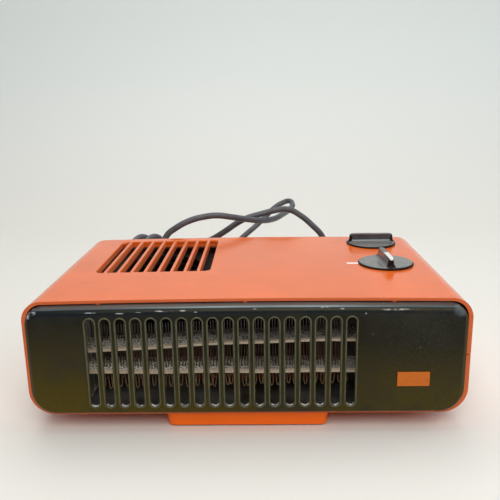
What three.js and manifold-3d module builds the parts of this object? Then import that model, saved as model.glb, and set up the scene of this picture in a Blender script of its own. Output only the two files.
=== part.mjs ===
// A table-top fan heater of the 1970s. An orange moulded sleeve in two halves stands on a short
// foot. A black slotted panel closes its front, with a mica and wire element behind the slots.
// Air enters through a ribbed window in the top, and a flat-lying blower wheel drives it forward
// past the element. Two finned knobs on the top turn the thermostat and the switch.
//
// Millimetres, +Z up, the front faces -Y. The origin is on the table, under the middle of the
// casing, with the cord left out of that middle.

import * as THREE from 'three';
import { mergeVertices } from 'three/addons/utils/BufferGeometryUtils.js';
import Module from 'manifold-3d';

const wasm = await Module();
wasm.setup();

// Casing
const bodyWidth = 371.6;
const bodyDepth = 226;
const bodyHeight = 103.2;
const panelProud = 8;
const footRise = 13.3;
const wall = 2.8;
const cornerRadius = 17.5;
const lowCornerRadius = 19.5;
const backRadius = 5;
const topCrown = 1.5;
const mouthChamfer = 0.6;
const seamHeight = 55.2;
const seamGap = 0.5;
const lipThickness = 1.4;
const lipRise = 3;
const lipDrop = 5;

// Fits and cuts
const clearance = 0.3;
const overrun = 1;
const boreGap = 0.3;

// Intake window in the top, over the blower
const windowDepth = 127;
const windowRadius = 4.5;
const ventGap = 9;
const ventPitch = 12.7;
const ventCount = 9;
const ribDepth = 7.2;
const collarWall = 2;

// Front panel
const panelSideGap = 0.7;
const panelTopGap = 1.5;
const panelRadius = 16;
const panelLowRadius = 18;
const panelWall = 2.5;
const panelRound = 8;
const panelSideDraw = 5.5;
const panelTopDraw = 6.5;
const panelFootDraw = 4;
const panelSkirt = 8;
const tabWidth = 2.6;
const tabDepth = 6;
const tabSpread = 121;

// Slots in the panel, with a raised bead round each
const slotCount = 18;
const slotLeftInset = 58.8;
const slotRightInset = 99.8;
const slotSpacing = 5.13;
const slotBottom = 11.2;
const slotTop = 89;
const beadWidth = 1.7;
const beadProud = 0.9;

// Badge plate, left bare
const badgeWidth = 26.6;
const badgeHeight = 12.5;
const badgeInset = 48.4;
const badgeCentreRise = 34.7;
const badgeThickness = 1.2;
const badgeSunk = 0.8;

// Knobs, one behind the other
const knobInset = 51.8;
const rearKnobInset = 37;
const knobSpacing = 84.5;
const knobRadius = 26.6;
const knobTopRadius = 24.9;
const discHeight = 1.8;
const finHeight = 8.8;
const finLength = 47.2;
const finFootLength = 51;
const finThickness = 5;
const finFootThickness = 13;
const finWaist = 6.4;
const finEndRadius = 3;
const pointerLength = 24;
const pointerDepth = 1.8;
const hubRadius = 6.5;
const hubDrop = 11;
const spindleRadius = 3;
const spindleLength = 30;

// Index line beside the front knob
const indexLength = 10;
const indexWidth = 1;
const indexSunk = 0.5;
const indexProud = 0.15;

// Control bracket with the thermostat and the switch
const bracketHalfWidth = 18;
const bracketFrontReach = 41.5;
const bracketBackReach = 22;
const bracketSheet = 1.2;
const bracketFlange = 5;
const neckRadius = 5;
const neckRise = 4;
const nutRadius = 8;
const nutHeight = 2;
const thermostatSide = 32;
const thermostatHeight = 24;
const switchRadius = 16;
const switchHeight = 28;
const bracketPostRadius = 3.5;
const bracketPostInset = 5;

// Screws and the bosses that they hold
const bossRadius = 6.5;
const bossInset = 20;
const frontBossInset = 24;
const backBossInset = 27;
const screwRadius = 1.75;
const screwHeadRadius = 3.6;
const screwHeadHeight = 2.2;
const casingScrewLength = 26;
const casingScrewDepth = 15;
const footScrewLength = 13;
const footBossRadius = 4.2;
const footBossRise = 9;

// Foot
const footInset = 116.3;
const footSetBack = 9;
const footDepth = 199;
const footTaper = 0.8;
const footRadius = 6;
const footEdge = 2;
const footWall = 2.5;
const footScrewInset = 17.5;
const footScrewFront = 93;
const footScrewBack = 165;
const padRadius = 6;
const padThickness = 2;
const padSunk = 1;
const padInset = 13;
const padBossWall = 2.2;

// Heater duct, one folded sheet that narrows to the blower's outlet
const ductMargin = 9.4;
const ductMouthGap = 4;
const ductHeadroom = 10.5;
const ductSheet = 1;
const ductStraight = 12;
const railWidth = 3;
const railLength = 34;
const railSpread = 75;

// Element: two mica boards and one long hairpin wire
const boardSetBack = 19;
const boardDepth = 24;
const boardThickness = 2;
const lowerBoardRise = 32.2;
const upperBoardLeftRise = 51.2;
const upperBoardRightRise = 59.7;
const boardOverhang = 4;
const hairpinCount = 22;
const hairpinMargin = 9;
const wireRadius = 0.8;
const hairpinDepth = 10;
const hairpinDrop = 15.8;
const hairpinRise = 8;
const hairpinBends = 3;
const wireSides = 4;

// Blower
const blowerInsetX = 95.8;
const blowerInsetY = 79.5;
const outletReach = 60.2;
const scrollSheet = 1.2;
const scrollWall = 1.5;
const scrollStartRadius = 55;
const scrollEndRadius = 78;
const tongueAngle = 70;
const inletRadius = 40;
const inletLip = 3;
const inletGap = 4.8;
const inletLipWall = 1.6;
const wheelRadius = 50;
const wheelEyeRadius = 38;
const wheelFloorGap = 2.5;
const wheelTopGap = 3.3;
const wheelPlate = 1.5;
const bladeCount = 22;
const bladeSteps = 3;
const bladeThickness = 1.1;
const bladeLag = 13;
const wheelHubRadius = 8;
const wheelHubHeight = 15;
const blowerPostRadius = 4;
const blowerPostSpread = 52;

// Motor under the blower
const shaftRadius = 2.5;
const motorFloorGap = 4.9;
const shaftTail = 1.5;
const shaftReach = 20;
const rotorRadius = 14;
const airGap = 0.6;
const stackHeight = 20;
const statorLeft = 24;
const statorRight = 40;
const statorHalfDepth = 26;
const windowInner = 18;
const limbWidth = 12;
const windowHalfDepth = 14;
const coilReach = 9;
const coilEndWall = 6;
const motorBridgeHalfWidth = 7;
const motorBridgeSheet = 2;
const motorLegDepth = 8;
const lowerBridgeDrop = 6.5;
const upperBridgeRise = 8.7;
const bearingRadius = 5.7;
const bearingHeight = 6;
const motorScrewRadius = 1.6;
const motorScrewOffset = 22;

// Thermal cut-out on the duct's right end
const cutoutRadius = 9;
const cutoutThickness = 6;
const cutoutSetBack = 16;
const cutoutDrop = 14;
const cutoutTabWidth = 5;
const cutoutTabLength = 7;
const cutoutTabSheet = 0.8;

// Terminal block behind the controls
const terminalInset = 101;
const terminalBackInset = 29;
const terminalWidth = 46;
const terminalDepth = 17;
const terminalHeight = 9;
const terminalTowerHeight = 5;
const terminalTowerGap = 3;
const terminalWays = 3;

// Cord gland in the back wall
const glandInset = 90.8;
const glandRise = 25.2;
const glandNeckRadius = 6;
const glandFlangeRadius = 8.5;
const glandFlangeThickness = 2.5;
const glandSleeveLength = 30;
const glandTipRadius = 4.9;

// Mains cord. The free stretch lies behind the casing, in open loops that stand up by their own
// stiffness, and the rest of the length is coiled on the table behind it.
const cordRadius = 3.75;
const cordSides = 8;
const cordStep = 14;
const coilX = -17;
const coilY = 172;
const coilOuterRadius = 48;
const coilTurns = 2.5;
const coilClimb = 0.5;
const coilGap = 0.6;
const coilSteps = 24;
const coilSides = 6;
const cordLift = 0.1;
const raisedX = -122;
const raisedY = 160;
const raisedHeight = 85.4;
const raisedRadius = 22;
const raisedPitch = 17.8;
const raisedFall = 1.6;
const raisedTwist = 22;
const raisedFrom = 12;
const raisedTo = 522;
const raisedStep = 30;

// Mains plug, lying behind the coil
const plugBack = 214;
const plugRadius = 18.5;
const plugTailRadius = 6.5;
const plugTailLength = 14;
const plugBodyLength = 30;
const plugPinRadius = 2.4;
const plugPinLength = 19;
const plugPinSpacing = 19;

// Facets
const cornerSteps = 5;
const crownSteps = 6;
const edgeSteps = 4;
const discSteps = 30;
const roundSteps = 18;
const fineSteps = 10;
const slotSteps = 3;
const finSteps = 3;
const screwSides = 8;
const nutSides = 6;

// Places that follow from the sizes above
const panelFace = -(bodyDepth + panelProud - beadProud) / 2;
const sleeveFront = panelFace + panelProud;
const backFace = sleeveFront + bodyDepth;
const rightSide = bodyWidth / 2;
const underside = footRise;
const topSide = underside + bodyHeight;
const seam = underside + seamHeight;
const floorTop = underside + wall;
const footWidth = bodyWidth - 2 * footInset;
const rightAngle = Math.PI / 2;

const knobX = rightSide - knobInset;
const rearKnobY = backFace - rearKnobInset;
const frontKnobY = rearKnobY - knobSpacing;
const blowerX = -rightSide + blowerInsetX;
const blowerY = backFace - blowerInsetY;
const glandX = rightSide - glandInset;
const ribFoot = topSide - ribDepth;

const slotPitch = (bodyWidth - slotLeftInset - slotRightInset) / (slotCount - 1);
const slotWidth = slotPitch - slotSpacing;
const slotPlaces = Array.from({ length: slotCount }, (unused, slot) => (
  -rightSide + slotLeftInset + slot * slotPitch));
const ductLeft = slotPlaces[0] - slotWidth / 2 - ductMargin;
const ductRight = slotPlaces[slotCount - 1] + slotWidth / 2 + ductMargin;
const ductBottom = floorTop + panelWall + 2 * clearance;
const ductTop = topSide - ductHeadroom;
const ductFront = panelFace + panelWall + ductMouthGap;
const boardFront = panelFace + boardSetBack;
const ductTaperStart = boardFront + boardDepth + ductStraight;
const scrollOutletY = blowerY - outletReach;
const ductEnd = scrollOutletY - clearance;
const lowerBoard = underside + lowerBoardRise;
const upperBoardLeft = underside + upperBoardLeftRise;
const upperBoardRight = underside + upperBoardRightRise;

// The motor stands clear of the floor, the blower stands on the motor, and the wheel fills the
// height that is left under the window.
const shaftBottom = floorTop + motorFloorGap;
const lowerBridgeBottom = shaftBottom + shaftTail;
const stackBottom = lowerBridgeBottom + motorBridgeSheet + lowerBridgeDrop;
const stackTop = stackBottom + stackHeight;
const upperBridgeTop = stackTop + upperBridgeRise;
const scrollFloor = upperBridgeTop + clearance;
const scrollTop = ribFoot - inletGap - inletLip - scrollSheet - clearance;
const wheelBottom = scrollFloor + scrollSheet + wheelFloorGap;
const wheelTop = scrollTop - wheelTopGap;
const shaftTop = scrollFloor + shaftReach;

// Height of the crowned top over a place across the casing.
function topAt(x) {
  return topSide - topCrown * (x / (bodyWidth / 2 - cornerRadius)) ** 2;
}

// Helpers: closed shapes, cuts and joins

function solid(geometry) {
  const bare = geometry.index ? geometry.toNonIndexed() : geometry.clone();
  bare.deleteAttribute('normal');
  bare.deleteAttribute('uv');
  const merged = mergeVertices(bare);
  return new wasm.Manifold(new wasm.Mesh({
    numProp: 3,
    vertProperties: new Float32Array(merged.attributes.position.array),
    triVerts: new Uint32Array(merged.index.array),
  }));
}

function skin(body) {
  const mesh = body.getMesh();
  const geometry = new THREE.BufferGeometry();
  geometry.setAttribute('position', new THREE.BufferAttribute(mesh.vertProperties, 3));
  geometry.setIndex(new THREE.BufferAttribute(mesh.triVerts, 1));
  geometry.computeVertexNormals();
  return geometry;
}

function joined(bodies) {
  return bodies.reduce((whole, body) => whole.add(body));
}

function cutBy(body, tools) {
  return tools.reduce((left, tool) => left.subtract(tool), body);
}

// Skins a stack of rings with equally many points and closes both ends with a fan.
function loft(rings) {
  const count = rings[0].length;
  const points = rings.flat();
  const index = [];
  for (let ring = 0; ring + 1 < rings.length; ring += 1) {
    for (let at = 0; at < count; at += 1) {
      const next = (at + 1) % count;
      const low = ring * count;
      const high = low + count;
      index.push(low + at, low + next, high + next, low + at, high + next, high + at);
    }
  }
  const middle = (ring) => ring.reduce((sum, p) => sum.add(p), new THREE.Vector3()).divideScalar(count);
  const last = (rings.length - 1) * count;
  points.push(middle(rings[0]), middle(rings[rings.length - 1]));
  for (let at = 0; at < count; at += 1) {
    const next = (at + 1) % count;
    index.push(points.length - 2, next, at, points.length - 1, last + at, last + next);
  }
  let volume = 0;
  for (let at = 0; at < index.length; at += 3) {
    const [a, b, c] = [points[index[at]], points[index[at + 1]], points[index[at + 2]]];
    volume += a.dot(b.clone().cross(c));
  }
  const geometry = new THREE.BufferGeometry().setFromPoints(points);
  geometry.setIndex(volume < 0 ? index.reverse() : index);
  return geometry;
}

// A rectangle with rounded corners and, if asked for, a crowned upper side.
function roundedOutline(left, right, low, high, lowRadius, highRadius, crown = 0,
  steps = cornerSteps) {
  const points = [];
  const corner = (x, y, radius, start) => {
    for (let step = 0; step <= steps; step += 1) {
      const angle = start + rightAngle * step / steps;
      points.push(new THREE.Vector2(x + radius * Math.cos(angle), y + radius * Math.sin(angle)));
    }
  };
  const middle = (left + right) / 2;
  const reach = (right - left) / 2 - highRadius;
  corner(right - lowRadius, low + lowRadius, lowRadius, -rightAngle);
  corner(right - highRadius, high - crown - highRadius, highRadius, 0);
  for (let step = 1; crown > 0 && step < crownSteps; step += 1) {
    const share = 1 - 2 * step / crownSteps;
    points.push(new THREE.Vector2(middle + reach * share, high - crown * share ** 2));
  }
  corner(left + highRadius, high - crown - highRadius, highRadius, rightAngle);
  corner(left + lowRadius, low + lowRadius, lowRadius, Math.PI);
  return points;
}

const uprightRing = (outline, y) => outline.map((p) => new THREE.Vector3(p.x, y, p.y));
const flatRing = (outline, z) => outline.map((p) => new THREE.Vector3(p.x, p.y, z));

function block(x0, x1, y0, y1, z0, z1) {
  const box = new THREE.BoxGeometry(x1 - x0, y1 - y0, z1 - z0);
  return solid(box.translate((x0 + x1) / 2, (y0 + y1) / 2, (z0 + z1) / 2));
}

function post(x, y, z0, z1, radius, sides = fineSteps) {
  const shape = new THREE.CylinderGeometry(radius, radius, z1 - z0, sides);
  return solid(shape.rotateX(rightAngle).translate(x, y, (z0 + z1) / 2));
}

// A flat shape drawn in X and Y, from one height to another.
function raised(shape, z0, z1, curveSegments = fineSteps) {
  const settings = { depth: z1 - z0, bevelEnabled: false, curveSegments };
  return solid(new THREE.ExtrudeGeometry(shape, settings).translate(0, 0, z0));
}

// A flat shape drawn in X and Z, from one depth to another.
function upright(shape, y0, y1, curveSegments = slotSteps) {
  const settings = { depth: y1 - y0, bevelEnabled: false, curveSegments };
  return solid(new THREE.ExtrudeGeometry(shape, settings).rotateX(rightAngle).translate(0, y1, 0));
}

function obround(x, low, high, width) {
  const radius = width / 2;
  const shape = new THREE.Shape();
  shape.absarc(x, high - radius, radius, 0, Math.PI);
  shape.absarc(x, low + radius, radius, Math.PI, 2 * Math.PI);
  return shape;
}

// A turned piece about a line up through (x, y).
function turned(profile, sides = fineSteps) {
  const points = profile.map(([radius, height]) => new THREE.Vector2(radius, height));
  return solid(new THREE.LatheGeometry(points, sides).rotateX(rightAngle));
}

// A round tube along points, drawn with rings square to the line. The hint is a direction
// that the line never follows.
function sweep(points, radius, sides, hint) {
  const rings = points.map((point, at) => {
    const before = points[Math.max(at - 1, 0)];
    const after = points[Math.min(at + 1, points.length - 1)];
    const along = after.clone().sub(before).normalize();
    const across = hint.clone().cross(along).normalize();
    const over = along.clone().cross(across);
    return Array.from({ length: sides }, (unused, side) => {
      const angle = 2 * Math.PI * (side + 1 / 2) / sides;
      return point.clone()
        .addScaledVector(across, radius * Math.cos(angle))
        .addScaledVector(over, radius * Math.sin(angle));
    });
  });
  return loft(rings);
}

// The smallest clear distance between parts of one wound line that lie apart along it.
function leastGap(points, radius, apart) {
  let least = Infinity;
  const travelled = [0];
  for (let at = 1; at < points.length; at += 1) {
    travelled.push(travelled[at - 1] + points[at].distanceTo(points[at - 1]));
  }
  for (let a = 0; a < points.length; a += 1) {
    for (let b = a + 1; b < points.length; b += 1) {
      if (travelled[b] - travelled[a] > apart) {
        least = Math.min(least, points[a].distanceTo(points[b]));
      }
    }
  }
  return least - 2 * radius;
}

// Surfaces

const finish = (color, roughness, metalness) => () => new THREE.MeshStandardMaterial({
  color, roughness, metalness, side: THREE.DoubleSide,
});
const orangePlastic = finish(0xd9581f, 0.28, 0);
const blackPlastic = finish(0x262624, 0.3, 0);
const whitePlastic = finish(0xece9e2, 0.4, 0);
const badgeOrange = finish(0xe07a2c, 0.4, 0);
const rubber = finish(0x2a2a2c, 0.65, 0);
const zincSteel = finish(0xa6a9aa, 0.42, 1);
const brightSteel = finish(0xc8c8c6, 0.3, 1);
const laminations = finish(0x55585a, 0.55, 1);
const mica = finish(0x9a8674, 0.7, 0);
const nichrome = finish(0x5a3a28, 0.5, 1);
const bakelite = finish(0x3a2a22, 0.45, 0);
const copper = finish(0xa0562c, 0.4, 1);
const bronze = finish(0x9c7a45, 0.45, 1);
const brass = finish(0xc9a24e, 0.35, 1);

// Casing

// The sleeve's outer or inner form, drawn in from the outside by an even amount, with the back
// edges rounded.
function sleeveForm(drawn, front, back, round) {
  const outline = (more) => roundedOutline(
    -bodyWidth / 2 + more, bodyWidth / 2 - more, underside + more, topSide - more,
    lowCornerRadius - more, cornerRadius - more, topCrown);
  const rings = [uprightRing(outline(drawn), front)];
  for (let step = 0; step <= edgeSteps; step += 1) {
    const angle = rightAngle * step / edgeSteps;
    const inset = drawn + round * (1 - Math.cos(angle));
    rings.push(uprightRing(outline(inset), back - round * (1 - Math.sin(angle))));
  }
  return rings;
}

function sleeveOuter() {
  const rings = sleeveForm(0, sleeveFront + mouthChamfer, backFace, backRadius);
  const mouth = roundedOutline(
    -bodyWidth / 2 + mouthChamfer, bodyWidth / 2 - mouthChamfer,
    underside + mouthChamfer, topSide - mouthChamfer,
    lowCornerRadius - mouthChamfer, cornerRadius - mouthChamfer, topCrown);
  return solid(loft([uprightRing(mouth, sleeveFront), ...rings]));
}

const sleeveInner = (drawn, front) => solid(
  loft(sleeveForm(drawn, front, backFace - drawn, backRadius - drawn)));

const everywhere = (z0, z1) => block(
  -bodyWidth, bodyWidth, -bodyDepth, bodyDepth, z0, z1);

const casingScrewPlaces = [-1, 1].flatMap((side) => [
  [side * (bodyWidth / 2 - bossInset), sleeveFront + frontBossInset],
  [side * (bodyWidth / 2 - bossInset), backFace - backBossInset],
]);
const footFront = panelFace + footSetBack;
const footScrewPlaces = [-1, 1].flatMap((side) => [
  [side * (footWidth / 2 - footScrewInset), footFront + footScrewFront],
  [side * (footWidth / 2 - footScrewInset), footFront + footScrewBack],
]);
const blowerPostPlaces = [1, 3, 5, 7].map((turn) => [
  blowerX + blowerPostSpread * Math.cos(turn * Math.PI / 4),
  blowerY + blowerPostSpread * Math.sin(turn * Math.PI / 4),
]);
const bracketFront = frontKnobY - bracketFrontReach;
const bracketBack = rearKnobY + bracketBackReach;
const bracketPostPlaces = [
  [knobX, bracketFront + bracketPostInset],
  [knobX, (frontKnobY + rearKnobY) / 2],
  [knobX, bracketBack - bracketPostInset],
];

const ventSpan = ventPitch * (ventCount - 1) + ventGap;
const hubBottom = topAt(knobX - knobRadius) + clearance - hubDrop;
const bracketTop = hubBottom - neckRise + clearance;
const bracketBottom = bracketTop - bracketSheet;
const holeRadius = hubRadius + clearance;

function windowShape(grow) {
  return new THREE.Shape(roundedOutline(
    blowerX - ventSpan / 2 - grow, blowerX + ventSpan / 2 + grow,
    blowerY - windowDepth / 2 - grow, blowerY + windowDepth / 2 + grow,
    windowRadius + grow, windowRadius + grow));
}

function upperShell() {
  const outer = sleeveOuter();
  const hollow = sleeveInner(wall, sleeveFront - overrun);
  const above = everywhere(seam + seamGap / 2, topSide + overrun);
  let shell = outer.subtract(hollow).intersect(above);

  const collar = raised(windowShape(collarWall), ribFoot, topSide);
  const throat = raised(windowShape(0), ribFoot - overrun, topSide + overrun);
  const ribs = Array.from({ length: ventCount - 1 }, (unused, rib) => {
    const left = blowerX - ventSpan / 2 + ventGap + rib * ventPitch;
    return block(left, left + ventPitch - ventGap, blowerY - windowDepth / 2 - overrun,
      blowerY + windowDepth / 2 + overrun, ribFoot, topSide);
  });
  shell = shell.add(collar.intersect(outer)).subtract(throat);
  shell = shell.add(joined(ribs).intersect(outer));

  const posts = [
    ...casingScrewPlaces.map(([x, y]) => post(x, y, seam + seamGap / 2, topSide, bossRadius)),
    ...bracketPostPlaces.map(([x, y]) => post(x, y, bracketTop + clearance, topSide,
      bracketPostRadius)),
  ];
  const tabs = [-tabSpread, 0, tabSpread].map((x) => block(
    x - tabWidth / 2, x + tabWidth / 2, sleeveFront, sleeveFront + tabDepth,
    topAt(x) - wall - panelTopGap + clearance, topSide));
  shell = shell.add(joined([...posts, ...tabs]).intersect(outer));

  const screwHoles = casingScrewPlaces.map(([x, y]) => post(x, y, seam - overrun,
    seam + casingScrewLength - casingScrewDepth + overrun, screwRadius + clearance));
  const knobHoles = [frontKnobY, rearKnobY].map((y) => post(
    knobX, y, bracketTop, topSide + overrun, holeRadius, roundSteps));
  const markBed = indexBlock(clearance, indexSunk, overrun);
  return cutBy(shell, [...screwHoles, ...knobHoles, markBed]);
}

function lowerShell() {
  const outer = sleeveOuter();
  const hollow = sleeveInner(wall, sleeveFront - overrun);
  const below = everywhere(underside - overrun, seam - seamGap / 2);
  let shell = outer.subtract(hollow).intersect(below);

  const lipFront = panelFace + panelProud + panelSkirt + clearance;
  const lipBase = sleeveInner(wall / 2, lipFront)
    .subtract(sleeveInner(wall + clearance + lipThickness, lipFront - overrun))
    .intersect(everywhere(seam - lipDrop, seam - seamGap / 2));
  const lipTongue = sleeveInner(wall + clearance, lipFront)
    .subtract(sleeveInner(wall + clearance + lipThickness, lipFront - overrun))
    .intersect(everywhere(seam - lipDrop, seam + lipRise));
  shell = joined([shell, lipBase, lipTongue]);

  const screwBosses = casingScrewPlaces.map(([x, y]) => post(
    x, y, underside, seam - seamGap / 2, bossRadius));
  const footBosses = footScrewPlaces.map(([x, y]) => post(
    x, y, underside, floorTop + footBossRise, footBossRadius));
  const blowerPosts = blowerPostPlaces.map(([x, y]) => post(
    x, y, underside + wall / 2, scrollFloor - clearance, blowerPostRadius));
  const rails = [-1, 1].map((side) => {
    const x = (ductLeft + ductRight) / 2 + side * railSpread;
    return block(x - railWidth / 2, x + railWidth / 2, lipFront, lipFront + railLength,
      underside + wall / 2, ductBottom - clearance);
  });
  shell = joined([shell, ...screwBosses, ...footBosses, ...blowerPosts, ...rails]);

  const recessTop = seam - casingScrewDepth;
  const recesses = casingScrewPlaces.flatMap(([x, y]) => [
    post(x, y, underside - overrun, recessTop, screwHeadRadius + clearance),
    post(x, y, recessTop - overrun, seam + overrun, screwRadius + clearance),
  ]);
  const footHoles = footScrewPlaces.map(([x, y]) => post(
    x, y, underside - overrun, floorTop + footBossRise + overrun, screwRadius + clearance));
  const glandHole = upright(new THREE.Shape().absarc(
    glandX, underside + glandRise, glandNeckRadius + clearance, 0, 2 * Math.PI),
  backFace - backRadius, backFace + overrun, fineSteps);
  return cutBy(shell, [...recesses, ...footHoles, glandHole]);
}

// The index line lies in a shallow bed at the left of the front knob.
function indexBlock(grow, sunk, proud) {
  const right = knobX - knobRadius - clearance;
  const surface = topAt(right - indexLength / 2);
  return block(right - indexLength - grow, right + grow, frontKnobY - indexWidth / 2 - grow,
    frontKnobY + indexWidth / 2 + grow, surface - sunk, surface + proud);
}

// Front panel

function panelForm(drawn, face, round, back) {
  const sides = bodyWidth / 2 - wall - panelSideGap - drawn;
  const low = underside + wall + clearance + drawn;
  const high = topSide - wall - panelTopGap - drawn;
  const rings = [];
  for (let step = edgeSteps; step >= 0; step -= 1) {
    const angle = rightAngle * step / edgeSteps;
    const share = 1 - Math.cos(angle);
    const outline = roundedOutline(
      -sides + panelSideDraw * share, sides - panelSideDraw * share,
      low + panelFootDraw * share, high - panelTopDraw * share,
      panelLowRadius - drawn - panelFootDraw * share, panelRadius - drawn - panelSideDraw * share,
      topCrown);
    rings.push(uprightRing(outline, face + round * (1 - Math.sin(angle))));
  }
  rings.push(uprightRing(roundedOutline(-sides, sides, low, high, panelLowRadius - drawn,
    panelRadius - drawn, topCrown), back));
  return solid(loft(rings));
}

function frontGrille() {
  const back = sleeveFront + panelSkirt;
  const outer = panelForm(0, panelFace, panelRound, back);
  const inner = panelForm(panelWall, panelFace + panelWall, panelRound - panelWall, back + overrun);
  const low = underside + slotBottom;
  const high = underside + slotTop;
  const beads = slotPlaces.map((x) => upright(
    obround(x, low - beadWidth, high + beadWidth, slotWidth + 2 * beadWidth),
    panelFace - beadProud, panelFace + panelWall));
  const slots = slotPlaces.map((x) => upright(
    obround(x, low, high, slotWidth), panelFace - beadProud - overrun,
    panelFace + panelWall + overrun));
  const bed = badgeBlock(clearance, badgeSunk, overrun);
  return cutBy(joined([outer.subtract(inner), ...beads]), [...slots, bed]);
}

// The badge plate lies in a shallow bed, and the same block with a gap round it cuts the bed.
function badgeBlock(grow, sunk, proud) {
  const x = rightSide - badgeInset;
  const z = underside + badgeCentreRise;
  return block(x - badgeWidth / 2 - grow, x + badgeWidth / 2 + grow,
    panelFace - proud, panelFace + sunk, z - badgeHeight / 2 - grow, z + badgeHeight / 2 + grow);
}

// Foot, with its pads

const footBack = footFront + footDepth;
const padPlaces = [-1, 1].flatMap((side) => [
  [side * (footWidth / 2 - padInset), footFront + padInset],
  [side * (footWidth / 2 - padInset), footBack - padInset],
]);
const footBottom = padThickness - padSunk;
const footTop = underside - clearance;

function footOutline(drawn) {
  return roundedOutline(-footWidth / 2 + drawn, footWidth / 2 - drawn, footFront + drawn,
    footBack - drawn, footRadius - drawn, footRadius - drawn);
}

function foot() {
  const outer = solid(loft([
    flatRing(footOutline(footTaper + footEdge / 2), footBottom),
    flatRing(footOutline(footTaper + footEdge / 4), footBottom + footEdge / 4),
    flatRing(footOutline(footTaper), footBottom + footEdge),
    flatRing(footOutline(0), footTop),
  ]));
  const inner = solid(loft([
    flatRing(footOutline(footTaper + footEdge / 2 + footWall), footBottom - overrun),
    flatRing(footOutline(footTaper + footWall), footTop - footWall),
  ]));
  const padBosses = padPlaces.map(([x, y]) => post(
    x, y, footBottom, footTop - footWall / 2, padRadius + clearance + padBossWall, fineSteps));
  const padBeds = padPlaces.map(([x, y]) => post(
    x, y, footBottom - overrun, padThickness + clearance, padRadius + clearance, fineSteps));
  const screwHoles = footScrewPlaces.map(([x, y]) => post(
    x, y, footBottom, underside, screwRadius + clearance));
  return cutBy(joined([outer.subtract(inner), ...padBosses]), [...padBeds, ...screwHoles]);
}

// Screws stand head down, with the top of the head at the origin.
function screw(length) {
  return turned([
    [0, -screwHeadHeight], [screwHeadRadius, -screwHeadHeight], [screwHeadRadius, 0],
    [screwRadius, 0], [screwRadius, length - screwRadius], [0, length],
  ], screwSides);
}

// Knobs

const discBottom = topAt(knobX - knobRadius) + clearance;
const discTop = discBottom + discHeight;
const finTop = discTop + finHeight;
const spindleTop = discTop + spindleRadius / 2;

function finRing(length, width, height) {
  const radius = width / 2 - width / 8;
  return flatRing(roundedOutline(-width / 2, width / 2, -length / 2, length / 2, radius, radius, 0,
    finSteps), height);
}

// The fin's flanks sweep out in a hollow curve to meet the disc, and its top rounds over at both
// ends.
function knobFin() {
  const waistTop = finTop - finEndRadius;
  const rings = [finRing(finFootLength, finFootThickness, discTop - discHeight / 4)];
  [[0, 0], [0.15, 0.55], [0.42, 0.85], [1, 1]].forEach(([rise, gathered]) => rings.push(finRing(
    finFootLength + (finLength - finFootLength) * gathered,
    finFootThickness + (finWaist - finFootThickness) * gathered,
    discTop + (waistTop - discTop) * rise)));
  for (let step = 1; step <= edgeSteps; step += 1) {
    const angle = rightAngle * step / edgeSteps;
    rings.push(finRing(finLength - 2 * finEndRadius * (1 - Math.cos(angle)),
      finWaist + (finThickness - finWaist) * step / edgeSteps,
      waistTop + finEndRadius * Math.sin(angle)));
  }
  return solid(loft(rings));
}

// The knob's own frame: its axis is Z and its pointer end is -Y.
function knob() {
  const disc = turned([
    [0, discBottom], [knobRadius, discBottom], [knobRadius, discBottom + discHeight / 4],
    [knobTopRadius, discTop], [0, discTop],
  ], discSteps);
  const hub = post(0, 0, hubBottom, discTop, hubRadius, roundSteps);
  const bore = post(0, 0, hubBottom - overrun, spindleTop + clearance, spindleRadius + boreGap);
  return cutBy(joined([disc, knobFin(), hub]), [bore, pointerBed(clearance)]);
}

// The white pointer caps the front of the fin's top, over its whole width and its rounded end.
function pointerBed(grow) {
  return block(-knobRadius, knobRadius, -knobRadius, pointerLength - finLength / 2 + grow,
    finTop - pointerDepth - grow, finTop + overrun);
}

const pointer = () => knobFin().intersect(pointerBed(0));

const spindle = () => post(0, 0, spindleTop - spindleLength, spindleTop, spindleRadius);

// Controls

function controlBracket() {
  const plate = block(knobX - bracketHalfWidth, knobX + bracketHalfWidth, bracketFront,
    bracketBack, bracketBottom, bracketTop);
  const flanges = [-1, 1].map((side) => {
    const inner = knobX + side * (bracketHalfWidth - bracketSheet);
    const outer = knobX + side * bracketHalfWidth;
    return block(Math.min(inner, outer), Math.max(inner, outer), bracketFront, bracketBack,
      bracketBottom, bracketTop + bracketFlange);
  });
  const holes = [frontKnobY, rearKnobY].map((y) => post(
    knobX, y, bracketBottom - overrun, bracketTop + overrun, neckRadius + clearance, roundSteps));
  return cutBy(joined([plate, ...flanges]), holes);
}

const controlTop = bracketBottom - clearance;
const neckTop = hubBottom - clearance;

// Bore for the spindle, with a closed end under it.
const spindleBore = () => post(0, 0, spindleTop - spindleLength - clearance, neckTop + overrun,
  spindleRadius + boreGap);

function thermostatBody() {
  const half = thermostatSide / 2;
  const radius = half / 4;
  const outline = roundedOutline(-half, half, -half, half, radius, radius);
  const inner = roundedOutline(-half + radius / 2, half - radius / 2, -half + radius / 2,
    half - radius / 2, radius / 2, radius / 2);
  const step = thermostatHeight / 4;
  const body = solid(loft([
    flatRing(inner, controlTop - thermostatHeight), flatRing(inner, controlTop - step),
  ]));
  const flange = solid(loft([flatRing(outline, controlTop - step), flatRing(outline, controlTop)]));
  const neck = post(0, 0, controlTop - clearance, neckTop, neckRadius, roundSteps);
  return joined([body, flange, neck]).subtract(spindleBore());
}

function switchBody() {
  const neck = post(0, 0, controlTop - clearance, neckTop, neckRadius, roundSteps);
  const decks = [0, 1, 2].map((deck) => {
    const top = controlTop - deck * switchHeight / 3;
    const waist = top - switchHeight / 4;
    return [
      post(0, 0, waist, top, switchRadius, fineSteps),
      post(0, 0, top - switchHeight / 3, waist + clearance, switchRadius * 7 / 8, fineSteps),
    ];
  });
  return joined([neck, ...decks.flat()]).subtract(spindleBore());
}

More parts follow.
